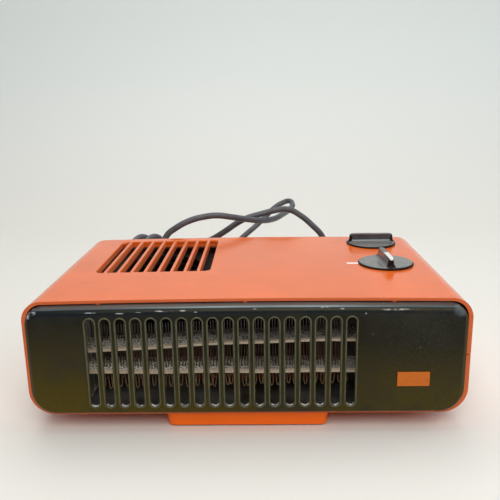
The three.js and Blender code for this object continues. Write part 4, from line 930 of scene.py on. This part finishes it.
def window_frame(sizes, middle_x, middle_y):
    """The window's ribs, and the collar round all its openings, under the casing's top."""
    foot = CASING_HIGH.z - sizes.rib_depth
    half = (sizes.vent_pitch - sizes.vent_gap) / 2
    side = (sizes.vent_count - 1) / 2 * sizes.vent_pitch + sizes.vent_gap / 2
    left, right = middle_x - side, middle_x + side
    near, far = middle_y - sizes.vent_depth / 2, middle_y + sizes.vent_depth / 2
    ribs = [block((x - half, near - 1, foot), (x + half, far + 1, top_at(sizes, x) - sizes.wall + 0.05))
            for x in spread(middle_x, sizes.vent_pitch, sizes.vent_count - 1)]
    top = top_at(sizes, left) - sizes.wall + 0.1
    collar = block((left - 2, near - 2, foot), (right + 2, far + 2, top))
    opening = block((left + sizes.vent_less, near, foot - 2), (right, far, CASING_HIGH.z + 2))
    return [*ribs, combined(collar, opening)]


class HEATER_OT_casing(bpy.types.Operator):
    """Make the two halves of the orange sleeve"""

    bl_idname = "heater.casing"
    bl_label = "Casing"

    def execute(self, context):
        sizes = context.scene.heater_casing
        low, high = CASING_LOW, CASING_HIGH
        seam, half_gap = sizes.seam_height, sizes.seam_gap / 2
        screws, foot_screws = centres("casing_screw"), centres("foot_screw")
        middle_x, middle_y = centre_of("fan_wheel")
        middle_x -= sizes.vent_shift

        whole = sleeve(sizes, 0, sizes.wall)
        rims = [e for e in whole.edges if all(v.co.y < low.y + FLUSH for v in e.verts)
                and e.calc_face_angle(0) > 1]
        bevelled(whole, rims, sizes.rim_edge, 3)
        whole = combined(whole, casing_holes())
        whole = combined(whole, window_cutters(sizes, middle_x, middle_y))
        upper = kept_between(whole.copy(), seam + half_gap, high.z + OVERCUT)
        lower = kept_between(whole, low.z - OVERCUT, seam - half_gap)

        lip = kept_between(sleeve(sizes, sizes.wall + LIP_GAP, LIP_WALL), seam - LIP_BELOW,
                           seam + LIP_ABOVE)
        bmesh.ops.translate(lip, vec=(0, LIP_BACK, 0),
                            verts=[v for v in lip.verts if v.co.y < low.y + 1])
        bosses = [tube(x, y, low.z + 1, seam - SEAM_PLAY, BOSS, HEAD_HOLE) for x, y in screws]
        bosses += [tube(x, y, low.z + 1, low.z + FOOT_BOSS_TOP, FOOT_BOSS, THREAD_HOLE)
                   for x, y in foot_screws]
        finished("lower_casing", joined([lower, *bosses, lip]), "orange",
                 ["lower_shell"])

        posts = [tube(x, y, seam + SEAM_PLAY, high.z - 2, BOSS, THREAD_HOLE) for x, y in screws]
        tabs = [block((x - TAB_HALF, low.y + 0.2, top_at(sizes, x) - sizes.wall - TAB_HEIGHT),
                      (x + TAB_HALF, low.y + 0.2 + TAB_LENGTH, top_at(sizes, x) - 1))
                for x in TAB_PLACES]
        parts = [upper, *window_frame(sizes, middle_x, middle_y), *posts, *tabs]
        finished("upper_casing", joined(parts), "orange", ["upper_shell"])
        return {"FINISHED"}


# The foot's wall, the radii of its corners and lower edges, and how far its sides lean in
FOOT_WALL, FOOT_CORNER, FOOT_EDGE, FOOT_LEAN = 2.5, 6, 1.2, 0.8
# The rubber pads' half section, and the radii of the seats that hold them
PAD_PROFILE = ((0, 0), (4.9, 0), (5.7, 0.25), (6, 0.8), (6, 2), (0, 2))
SEAT_OUTER, SEAT_INNER, SEAT_WEB = 8.5, 6.3, 7


class HEATER_OT_foot(bpy.types.Operator):
    """Make the foot and its rubber pads"""

    bl_idname = "heater.foot"
    bl_label = "Foot"

    def execute(self, context):
        low, high = box_mm("foot")
        half = (high - low) / 2
        mesh = outline_face(-half.x, half.x, -half.y, half.y, FOOT_CORNER, 8)
        moved(mesh, turn=-QUARTER, axis="X")
        bottom = pushed(mesh, mesh.faces[:], (0, 0, -(high.z - low.z) + FOOT_EDGE))[0]
        bmesh.ops.scale(mesh, vec=(1 - FOOT_LEAN / half.x, 1 - FOOT_LEAN / half.y, 1),
                        verts=list(bottom.verts))
        rounded_over(mesh, bottom, FOOT_EDGE, FOOT_EDGE, 4)
        opened(mesh, [bottom])
        thickened(mesh, FOOT_WALL)
        moved(mesh, ((low.x + high.x) / 2, (low.y + high.y) / 2, high.z))
        holes = [post(*screw, low.z, high.z + OVERCUT, THREAD_HOLE) for screw in centres("foot_screw")]
        mesh = combined(mesh, joined(holes))
        pads = centres("foot_pad")
        seats = [tube(*pad, low.z, high.z - 1, SEAT_OUTER, SEAT_INNER, 32) for pad in pads]
        webs = [post(*pad, 2.3, high.z - 1, SEAT_WEB, 32) for pad in pads]
        finished("foot_moulding", joined([mesh, *seats, *webs]), "foot", ["foot"])
        for at, (x, y) in zip(FOUR, pads):
            finished(f"rubber_pad_{at}", moved(turned(PAD_PROFILE, 40), (x, y, 0)), "rubber",
                     [f"foot_pad_{at}"])
        return {"FINISHED"}


# Panel

# How far each ring of a bead has gone inwards, and how far it stands off the panel's face, both as
# shares of the bead's width and height
BEAD_PROFILE = ((0.12, 0.8), (0.3, 1), (0.55, 0.95), (0.8, 0.7), (0.95, 0.3), (1, -0.1))
# How far a bead starts below the face, and the play round the badge plate in its bed
BEAD_SUNK, BADGE_PLAY = 0.6, 0.3


def slot_ring(sizes, face_y):
    """The bead and the wall of one slot, round the origin's upright line."""
    half, width, proud = sizes.slot_width / 2, sizes.bead_width, sizes.bead_proud
    count = 28
    mesh = bmesh.new()
    bmesh.ops.create_circle(mesh, cap_ends=True, radius=(half + width) / math.cos(math.pi / count),
                            segments=count)
    moved(mesh, turn=math.pi / count)
    upper = [v for v in mesh.verts if v.co.y > 0]
    lower = [v for v in mesh.verts if v.co.y < 0]
    bmesh.ops.translate(mesh, vec=(0, sizes.slot_top - half, 0), verts=upper)
    bmesh.ops.translate(mesh, vec=(0, sizes.slot_bottom + half, 0), verts=lower)
    moved(mesh, (0, face_y + BEAD_SUNK, 0), QUARTER, "X")
    foot = mesh.faces[:]
    face = pushed(mesh, foot, (0, -BEAD_SUNK - 0.4 * proud, 0))[0]
    opened(mesh, foot)
    before = 0
    for inward, off in BEAD_PROFILE:
        inset(mesh, face, (inward - before) * width)
        before = inward
        for v in face.verts:
            v.co.y = face_y - off * proud
    bead = set(mesh.faces)
    opened(mesh, pushed(mesh, [face], (0, sizes.wall - 0.1 * proud, 0)))
    # The slot's lower inner wall takes the pale finish: a painted highlight.
    for f in mesh.faces:
        if f not in bead and f.calc_center_median().z < sizes.slot_bottom + 0.5 * half:
            f.material_index = 1
    return mesh


def panel_shell(sizes, face_y):
    """The panel as an open box with a wall and a rounded rim, without its slots."""
    low, high = PANEL_LOW, PANEL_HIGH
    mesh = outline_face(low.x, high.x - sizes.right_inset, low.z, high.z + sizes.taller, sizes.corner,
                        12, sizes.low_corner, sizes.crown)
    moved(mesh, (0, high.y, 0))
    front = pushed(mesh, mesh.faces[:], (0, face_y + sizes.rounding - high.y, 0))[0]
    facing_out(mesh)
    middle = (low.z + high.z) / 2
    for gained_in, gained_out in quarter(10):
        inset(mesh, front, sizes.side_draw * gained_in, sizes.rounding * gained_out)
        for v in front.verts:
            if v.co.z > middle:
                v.co.z -= (sizes.top_draw - sizes.side_draw) * gained_in
            else:
                v.co.z -= (sizes.side_draw - sizes.foot_draw) * gained_in
    opened(mesh, [f for f in mesh.faces if all(v.co.y > high.y - FLUSH for v in f.verts)])
    thickened(mesh, sizes.wall)
    return mesh


class HEATER_OT_panel(bpy.types.Operator):
    """Make the black slotted panel and its bare badge plate"""

    bl_idname = "heater.panel"
    bl_label = "Front panel"

    def execute(self, context):
        sizes = context.scene.heater_panel
        face_y = PANEL_LOW.y + sizes.bead_proud
        mesh = panel_shell(sizes, face_y)
        places = spread(sizes.slot_middle, sizes.slot_pitch, sizes.slot_count)
        under = 0.5 * sizes.bead_width
        half = sizes.slot_width / 2 + under
        cutter = outline_face(-half, half, sizes.slot_bottom - under, sizes.slot_top + under,
                              half - 0.01, 10)
        moved(cutter, (0, face_y - 4, 0))
        pushed(cutter, cutter.faces[:], (0, 10, 0))
        badge_low, badge_high = box_mm("badge_plate")
        bed = block(badge_low - Vector((BADGE_PLAY, 2, BADGE_PLAY)),
                    Vector((badge_high.x + BADGE_PLAY, face_y + 0.8, badge_high.z + BADGE_PLAY)))
        mesh = combined(mesh, joined([repeated(facing_out(cutter), places), bed]))
        finished("slotted_panel", mesh, "panel", ["front_grille"], smooth=28)
        finished("slot_beads", repeated(slot_ring(sizes, face_y), places), ("bead", "crescent"),
                 smooth=50)
        plate = block(badge_low, badge_high)
        bevelled(plate, plate.edges[:], 0.25, 3)
        finished("bare_badge", plate, "badge", ["badge_plate"])
        return {"FINISHED"}


# Knobs

# In millimetres: the radius of the grip's upright edges, how deep the pointer is let in, and how far
# it stands off the grip to the front and upwards
GRIP_CORNER, INLAY_DEPTH, INLAY_PROUD = 5.4, 0.5, (0, -0.05, 0.06)
# How far a disc stands over the casing, in millimetres
KNOB_PLAY = 0.3
# How the knobs are turned in the photograph, from a pointer that looks to the front
FRONT_TURN, REAR_TURN = math.radians(2.5), -QUARTER


def knob_disc(sizes, low):
    """The flat disc with a narrow skirt round its foot."""
    high = low + sizes.disc
    disc = turned([
        (0, low), (sizes.radius - 0.4, low), (sizes.radius, low + 0.3),
        (sizes.radius - 0.15, low + 0.7), (sizes.top_radius + 0.5, high - 0.35),
        (sizes.top_radius, high - 0.08), (sizes.top_radius - 0.6, high), (0, high),
    ], 72)
    # The skirt takes the darker knob finish: painted shade.
    for f in disc.faces:
        if f.calc_center_median().z < high - 0.3:
            f.material_index = 1
    return disc


def knob_grip(sizes, low, top):
    """The grip across the disc, with hollow flanks and a top that rounds over at both ends."""
    rings = []
    for step in range(9):
        angle = QUARTER * step / 8
        flare = 1 - math.sin(angle)
        rings.append((
            sizes.grip_waist + (sizes.grip_flare - sizes.grip_waist) * flare,
            sizes.grip_length + (sizes.grip_foot - sizes.grip_length) * flare,
            low + sizes.grip_hollow * (1 - math.cos(angle)),
        ))
    for step in range(13):
        angle = QUARTER * step / 12
        height = top - sizes.grip_end * (1 - math.sin(angle))
        over = min(max(0, 1 - (top - height) / sizes.grip_edge), 1)
        rings.append((
            sizes.grip_width - 2 * sizes.grip_edge * (1 - math.sqrt(1 - over ** 2)),
            sizes.grip_length - 2 * sizes.grip_end * (1 - math.cos(angle)),
            height,
        ))
    width, long, _ = rings[0]
    grip = outline_face(-width / 2, width / 2, -long / 2, long / 2, GRIP_CORNER, 8)
    moved(grip, (0, 0, low - sizes.grip_skirt), -QUARTER, "X")
    faces = pushed(grip, grip.faces[:], (0, 0, sizes.grip_skirt))
    for before, after in zip(rings, rings[1:]):
        faces = pushed(grip, faces, (0, 0, after[2] - before[2]))
        bmesh.ops.scale(grip, vec=(after[0] / before[0], after[1] / before[1], 1),
                        verts=list(faces[0].verts))
    # The grip's lower ends take the darker knob finish: painted shade.
    for f in facing_out(grip).faces:
        if abs(f.normal.y) > 0.25 and f.calc_center_median().z < top - 0.8 * sizes.grip_end:
            f.material_index = 1
    return grip


def knob_pointer(sizes, grip, top):
    """The white inlay in the front of the grip's top, cut from the grip so that it follows it."""
    front, end = -sizes.grip_length / 2, sizes.grip_end
    depth = end - INLAY_DEPTH
    middle_y, middle_z = front + end, top - end
    profile = [(middle_y + depth * math.cos(angle), middle_z + depth * math.sin(angle))
               for angle in (math.radians(part) for part in range(155, 89, -13))]
    profile += [(front + sizes.pointer, top - INLAY_DEPTH), (front + sizes.pointer, top + 2),
                (front - 2, top + 2), (front - 2, middle_z + 2.3)]
    slab = bmesh.new()
    slab.faces.new([slab.verts.new((-sizes.pointer_width / 2, y, z)) for y, z in profile])
    pushed(slab, slab.faces[:], (sizes.pointer_width, 0, 0))
    return moved(combined(grip, facing_out(slab), "INTERSECT"), INLAY_PROUD)


class HEATER_OT_knobs(bpy.types.Operator):
    """Make the two knobs with their white pointers, and the index line"""

    bl_idname = "heater.knobs"
    bl_label = "Knobs"

    def execute(self, context):
        sizes = context.scene.heater_knobs
        casing = context.scene.heater_casing
        for name, node, turn, mark in (("front", "thermostat", FRONT_TURN, "white"),
                                       ("rear", "switch", REAR_TURN, "worn")):
            low, high = box_mm(f"{node}_knob")
            x, y = centre_of(f"{node}_spindle")
            disc_low = top_at(casing, x - sizes.radius) + KNOB_PLAY
            grip = knob_grip(sizes, disc_low + sizes.disc, high.z)
            pointer = knob_pointer(sizes, grip.copy(), high.z)
            stem = tube(0, 0, low.z, disc_low + 0.5, 6.5, 3.3, 32)
            knob = joined([knob_disc(sizes, disc_low), grip, stem])
            for part, mesh, finish, slot in (("knob", knob, ("knob", "skirt"), "black_plastic"),
                                             ("pointer", pointer, mark, "white_mark")):
                finished(f"{name}_{part}", moved(mesh, (x, y, 0), turn), finish,
                         [f"{node}_{part}"], f"{node}_dial", 45)
        low, high = box_mm("index_mark")
        line = block(low - Vector((0.7, 1.2, 0)), high + Vector((0.4, 1.2, 0.35)))
        bevelled(line, line.edges[:], 0.1, 2)
        finished("index_line", line, "index", ["index_mark"])
        return {"FINISHED"}


# Element and inner pieces

# In millimetres: how wavy a board is and how far the upper one is bowed up
BOARD_WAVE, BOARD_BOW = 0.3, 2.2
# How far the rows of wire stand in, how far the front one's ends stand over the upper board, and how
# far the bends lean sideways and differ in height
ROW_INSET, FRONT_RISE, BEND_LEAN, BEND_DROP = 1.2, 1.2, 1.1, 1.6


def mica_board(sizes, low, high, left, right, bowed):
    """A wavy board between two heights at its ends, higher at its back and bowed up if asked for."""
    mesh = block((low.x, low.y, 0), (high.x, high.y, high.z - low.z))
    for face in mesh.faces:
        if face.normal.y < -0.5:
            face.material_index = 1
    long = [e for e in mesh.edges if abs(e.verts[0].co.x - e.verts[1].co.x) > 10]
    bmesh.ops.subdivide_edges(mesh, edges=long, cuts=24, use_grid_fill=True)
    for v in mesh.verts:
        share = (v.co.x - low.x) / (high.x - low.x)
        v.co.z += left + (right - left) * share + BOARD_WAVE * math.sin(share * 17)
        v.co.z += sizes.board_slope * (v.co.y - low.y) / (high.y - low.y)
        if bowed:
            v.co.z += BOARD_BOW * math.sin(math.pi * share ** 1.2) + share
    return mesh


def hairpin(x, y, half, lean, top, rise, board, bottom):
    """One loop of wire, down through both boards, round below them and up again."""
    side = ((1, 0, 0, top + rise), (1, 0, 0, top), (1, 0, 0, board + 1), (1, 1, -0.3, bottom + 3),
            (0.5, 1, -0.4, bottom + 0.5))
    left, right = ([(x + way * half * out + lean * leaning, y + forward, z)
                    for out, leaning, forward, z in side] for way in (-1, 1))
    return [*left, (x + lean, y - 0.4, bottom), *reversed(right)]


def round_wire(name, radius, resolution):
    """A curve with a round section, still without its points."""
    curve = bpy.data.curves.new(name, "CURVE")
    curve.dimensions, curve.bevel_depth, curve.bevel_resolution = "3D", radius * MM, resolution
    return curve


class HEATER_OT_element(bpy.types.Operator):
    """Make the mica boards and the hairpin winding, and finish the duct"""

    bl_idname = "heater.element"
    bl_label = "Element"

    def execute(self, context):
        sizes = context.scene.heater_element
        low, high = box_mm("mica_board_lower")
        upper_low, upper_high = box_mm("mica_board_upper")
        thickness = high.z - low.z
        right_z = upper_high.z - thickness
        for name, left, right in (("lower", low.z, low.z), ("upper", upper_low.z, right_z)):
            mesh = mica_board(sizes, low, high, left, right, name == "upper")
            finished(f"{name}_board", mesh, ("mica", "mica edge"), [f"mica_board_{name}"],
                     smooth=40)

        wire_low, wire_high = box_mm("element_wire")
        front, back = wire_low.y + ROW_INSET, wire_high.y - ROW_INSET
        pitch = (wire_high.x - wire_low.x - 2) / sizes.loops
        curve = round_wire("winding", sizes.wire, 1)
        for loop in range(sizes.loops):
            x = wire_low.x + 1 + (loop + 0.5) * pitch
            share = (x - upper_low.x) / (upper_high.x - upper_low.x)
            top = upper_low.z + (right_z - upper_low.z) * share + thickness
            lean = BEND_LEAN * math.sin(loop * 2.1)
            uneven = BEND_DROP * (1 - 2 * loop / sizes.loops) + math.sin(loop * 1.3)
            for y, rise, drop in ((front, FRONT_RISE, sizes.drop),
                                  (back, sizes.rise, sizes.drop * 0.7)):
                points = hairpin(x, y, pitch * 0.27, lean, top, rise, low.z, low.z - drop - uneven)
                spline = curve.splines.new("POLY")
                spline.points.add(len(points) - 1)
                for point, at in zip(spline.points, points):
                    point.co = (*(Vector(at) * MM), 1)
        dressed(placed("winding", curve), "wire", ["element_wire"])
        finish_nodes("duct", "heater_duct")
        finish_nodes("bakelite", "thermal_cutout")
        return {"FINISHED"}


class HEATER_OT_inner(bpy.types.Operator):
    """Finish the blower, the motor and the controls"""

    bl_idname = "heater.inner"
    bl_label = "Blower, motor and controls"

    def execute(self, context):
        # The blower's scroll and cover are near black: painted shade.
        finish_nodes("aged", "blower_scroll", "blower_cover")
        finish_nodes("zinc", "motor_bridge_upper", "motor_bridge_lower", "control_bracket")
        finish_nodes("wheel", "fan_wheel")
        finish_nodes("bright", "motor_shaft", "thermostat_spindle", "switch_spindle",
                     "thermostat_nut", "switch_nut", "motor_screw_1", "motor_screw_2")
        finish_nodes("iron", "motor_rotor", "motor_stator")
        finish_nodes("copper", "motor_coil")
        finish_nodes("bronze", "bearing_upper", "bearing_lower")
        finish_nodes("bakelite", "thermostat_body", "switch_body", "terminal_block")
        return {"FINISHED"}


class HEATER_OT_screws(bpy.types.Operator):
    """Make the casing and foot screws with slotted heads"""

    bl_idname = "heater.screws"
    bl_label = "Screws"

    def execute(self, context):
        flat, head, shank = 2.2, 3.6, 1.75
        for kind in ("casing_screw", "foot_screw"):
            for at in FOUR:
                node = f"{kind}_{at}"
                low, high = box_mm(node)
                screw = turned([
                    (0, low.z), (flat, low.z), (3.2, low.z + 0.4), (head, low.z + 1.1),
                    (head, low.z + 2.2), (shank, low.z + 2.2), (shank, high.z - shank), (0, high.z),
                ], 32)
                slot = block((-4, -0.45, low.z - 1), (4, 0.45, low.z + 0.9))
                screw = combined(screw, moved(slot, turn=0.7 * at))
                finished(f"slotted_{node}", moved(screw, (*centre_of(node), 0)), "bright",
                         [node])
        return {"FINISHED"}


# Cord

def raised_turns():
    """The upright turns behind the casing's left end, a little out of square."""
    middle_x, middle_y, middle_z = -122, 160, 85.4
    twist, pitch, sinking, radius = math.radians(22), 17.8, 1.6, 22
    points = []
    for at in range(12, 523, 30):
        angle = math.radians(at)
        share = (angle - QUARTER) / (2 * math.pi)
        out = radius * math.cos(angle)
        points.append((
            middle_x - pitch * math.cos(twist) * share + out * math.sin(twist),
            middle_y + pitch * math.sin(twist) * share + out * math.cos(twist),
            middle_z - sinking * share + radius * math.sin(angle),
        ))
    return points


def flat_coil(sizes):
    """The coil on the table, whose inner half lies on its outer half."""
    pitch, steps = 2 * sizes.radius + sizes.coil_gap, 24
    points = []
    for step in range(int(sizes.coil_turns * steps) + 1):
        turn = step / steps
        radius = sizes.coil_radius - pitch * min(turn, sizes.coil_turns - turn)
        climbed = min(max((turn - sizes.coil_turns / 2) / 0.5 + 0.5, 0), 1)
        angle = math.pi + 2 * math.pi * turn
        points.append((sizes.coil_x + radius * math.cos(angle), sizes.coil_y + radius * math.sin(angle),
                       sizes.radius + 0.1 + pitch * climbed))
    return points


def cord_line(sizes):
    """Every point of the cord, from the gland through the coil to the plug, in metres."""
    route = (*CORD_RISE, *raised_turns(), *CORD_FALL, *flat_coil(sizes), *CORD_TAIL)
    return [Vector(point) * MM for point in route]


def gland_profile(wall_y, end_y):
    """The gland's half section: a flange inside, the groove on the wall, and a ribbed sleeve."""
    profile = [(radius, wall_y + y) for radius, y in (
        (0, -5.6), (8.2, -5.6), (8.5, -5.2), (8.5, -3.1), (6, -3.1), (6, 0.3), (8.5, 0.3),
        (8.5, 2.2), (8, 2.8), (6.4, 2.8),
    )]
    for at in range(9):
        radius = 4.9 + 1.1 * (1 - at / 8) + (0.35 if at % 2 else 0)
        profile += [(radius, wall_y + 6 + at * 3.1 - 1), (radius, wall_y + 6 + at * 3.1)]
    return [*profile, (4.9, end_y - 0.4), (4.5, end_y), (0, end_y)]


def plug_profile():
    """The plug's half section: a ribbed neck that widens into a round body."""
    profile = [(0, 0), (5.2, 0), (6.2, 0.6)]
    for rib in range(5):
        wider, y = rib * 0.35, rib * 2.4
        profile += [(6.4 + wider, 1.6 + y), (7.6 + wider, 2.2 + y), (7.6 + wider, 3.2 + y)]
    return [*profile, (9, 14), (12.2, 17), (13.6, 20), (13.9, 26), (15.2, 29), (17.6, 31.5), (18.5, 34),
            (18.5, 42.6), (17.6, 44), (0, 44)]


def turned_back(profile, steps, x, y, z):
    """A form turned about a line that runs to the back."""
    return moved(turned(profile, steps), (x, y, z), -QUARTER, "X")


class HEATER_OT_cord(bpy.types.Operator):
    """Make the mains cord, its gland and its plug"""

    bl_idname = "heater.cord"
    bl_label = "Cord and plug"

    def execute(self, context):
        sizes = context.scene.heater_cord
        points = cord_line(sizes)
        curve = round_wire("mains_cord", sizes.radius, 6)
        curve.resolution_u, curve.use_fill_caps = 5, True
        spline = curve.splines.new("BEZIER")
        spline.bezier_points.add(len(points) - 1)
        for knot, at in zip(spline.bezier_points, points):
            knot.co = at
            knot.handle_left_type = knot.handle_right_type = "AUTO"
        cord = placed("mains_cord", curve)
        dressed(cord, "cord", ["cord_run", "cord_coil", "cord_end"])

        x, z, _, end = lying("cord_gland")
        gland = turned_back(gland_profile(CASING_HIGH.y, end), 40, x, 0, z)
        gland_piece = finished("ribbed_gland", gland, "rubber", ["cord_gland"], smooth=50)
        x, z, start, _ = lying("plug_body")
        plug = turned_back(plug_profile(), 56, x, start, z)
        plug_piece = finished("round_plug", plug, "rubber", ["plug_body"], smooth=45)
        for node in ("plug_pin_1", "plug_pin_2"):
            x, z, start, end = lying(node)
            far = end - start
            profile = [(0, 0), (2.4, 0), (2.4, far - 1.6), (1.9, far - 0.6), (1, far), (0, far)]
            finished(node.replace("plug", "round"), turned_back(profile, 28, x, start, z),
                                 "brass", [node])
        return {"FINISHED"}


# Stage

# The camera's place and lens in millimetres, and how far it looks down, turns to the right and rolls
CAMERA_PLACE, CAMERA_LENS = (14.24, -586.43, 277.04), 44.53
CAMERA_ANGLES = (14.11, -1.17, 0.93)
# Name, place, aim, width and length, power and colour of each lamp, in metres and watts
LAMPS = (
    ("window lamp", (1.3, 0.1, 1.1), (0, 0, 0.08), (1.2, 1.0), 4.6, (0.93, 0.97, 1)),
    ("front lamp", (0.15, -1.1, 1.15), (0, 0, 0.05), (1.2, 0.8), 13, (1, 0.97, 0.92)),
    ("ceiling lamp", (-0.1, 0.4, 1.9), (0, 0.1, 0.05), (1.6, 1.6), 18, (1, 0.98, 0.95)),
)


def backdrop(colours):
    """A floor that curves up into a wall behind the heater."""
    half, wall, bend, edge, forward = 2.5, 2.6, 0.5, 2, 1.3
    sweep = bmesh.new()
    bmesh.ops.create_grid(sweep, x_segments=1, y_segments=1, size=half)
    back = [e for e in sweep.edges if all(v.co.y > edge for v in e.verts)]
    raised = bmesh.ops.extrude_edge_only(sweep, edges=back)["geom"]
    bmesh.ops.translate(sweep, vec=(0, 0, wall),
                        verts=[part for part in raised if isinstance(part, bmesh.types.BMVert)])
    fold = [e for e in sweep.edges if all(v.co.y > edge and v.co.z < 0.1 for v in e.verts)]
    bevelled(sweep, fold, bend, 16)
    floor = as_object(facing_out(moved(sweep, (0, -forward, 0))), "floor")
    floor.data.shade_smooth()
    finish = Finish("pale floor")
    rise = finish.span(finish.part_of("Z"), 0.0, 0.4)
    finish.colour(finish.mix(rise, tuple(colours.floor), tuple(colours.wall))).roughness(0.55)
    floor.data.materials.append(finish.material)


def area_lamp(name, at, aim, size, power, shade):
    """A soft lamp that looks at a point."""
    lamp = bpy.data.lights.new(name, "AREA")
    lamp.shape, lamp.size, lamp.size_y = "RECTANGLE", *size
    lamp.energy, lamp.color = power, shade
    made = placed(name, lamp)
    made.location = at
    made.rotation_mode = "QUATERNION"
    made.rotation_quaternion = (Vector(aim) - Vector(at)).to_track_quat("-Z", "Y")


def viewpoint():
    """The camera from which the photograph is taken."""
    camera = bpy.data.cameras.new("camera")
    camera.lens, camera.sensor_width = CAMERA_LENS, 36
    camera.clip_start, camera.clip_end = 0.01, 50
    viewer = placed("camera", camera)
    pitch, yaw, roll = (math.radians(angle) for angle in CAMERA_ANGLES)
    ahead = Vector((math.sin(yaw) * math.cos(pitch), math.cos(yaw) * math.cos(pitch), -math.sin(pitch)))
    right = Vector((math.cos(yaw), -math.sin(yaw), 0))
    down = ahead.cross(right)
    right, down = (math.cos(roll) * right + math.sin(roll) * down,
                   math.cos(roll) * down - math.sin(roll) * right)
    turn = Matrix((right, -down, -ahead)).transposed()
    viewer.matrix_world = Matrix.Translation(Vector(CAMERA_PLACE) * MM) @ turn.to_4x4()
    return viewer


class HEATER_OT_stage(bpy.types.Operator):
    """Make the pale floor, the backdrop, the soft lamps and the camera"""

    bl_idname = "heater.stage"
    bl_label = "Stage"

    def execute(self, context):
        scene = context.scene
        backdrop(scene.heater_colours)
        world = bpy.data.worlds.new("soft room")
        world.use_nodes = True
        scene.world = world
        background = world.node_tree.nodes["Background"]
        background.inputs["Color"].default_value = (0.86, 0.92, 0.95, 1)
        background.inputs["Strength"].default_value = 0.35
        for lamp in LAMPS:
            area_lamp(*lamp)
        scene.camera = viewpoint()
        scene.view_settings.view_transform = "Standard"
        return {"FINISHED"}


class HEATER_PT_panel(bpy.types.Panel):
    """The heater's pieces, in the order in which they are made"""

    bl_idname = "HEATER_PT_panel"
    bl_label = "Heater"
    bl_space_type = "VIEW_3D"
    bl_region_type = "UI"
    bl_category = "Heater"

    def draw(self, context):
        for operator in OPERATORS:
            self.layout.operator(operator.bl_idname)


OPERATORS = (
    HEATER_OT_stage, HEATER_OT_cord, HEATER_OT_casing, HEATER_OT_foot, HEATER_OT_panel,
    HEATER_OT_knobs, HEATER_OT_element, HEATER_OT_inner, HEATER_OT_screws,
)
GROUPS = {
    "heater_casing": HeaterCasing,
    "heater_panel": HeaterPanel,
    "heater_knobs": HeaterKnobs,
    "heater_element": HeaterElement,
    "heater_cord": HeaterCord,
    "heater_colours": HeaterColours,
}


def register():
    for group in GROUPS.values():
        bpy.utils.register_class(group)
    for name, group in GROUPS.items():
        setattr(bpy.types.Scene, name, bpy.props.PointerProperty(type=group))
    for operator in OPERATORS:
        bpy.utils.register_class(operator)
    bpy.utils.register_class(HEATER_PT_panel)


def unregister():
    bpy.utils.unregister_class(HEATER_PT_panel)
    for operator in reversed(OPERATORS):
        bpy.utils.unregister_class(operator)
    for name in GROUPS:
        delattr(bpy.types.Scene, name)
    for group in GROUPS.values():
        bpy.utils.unregister_class(group)


def main():
    register()
    make_finishes(bpy.context.scene.heater_colours)
    bpy.ops.heater.stage()
    bpy.ops.heater.cord()
    bpy.ops.heater.casing()
    bpy.ops.heater.foot()
    bpy.ops.heater.panel()
    bpy.ops.heater.knobs()
    bpy.ops.heater.element()
    bpy.ops.heater.inner()
    bpy.ops.heater.screws()


if __name__ == "__main__":
    main()
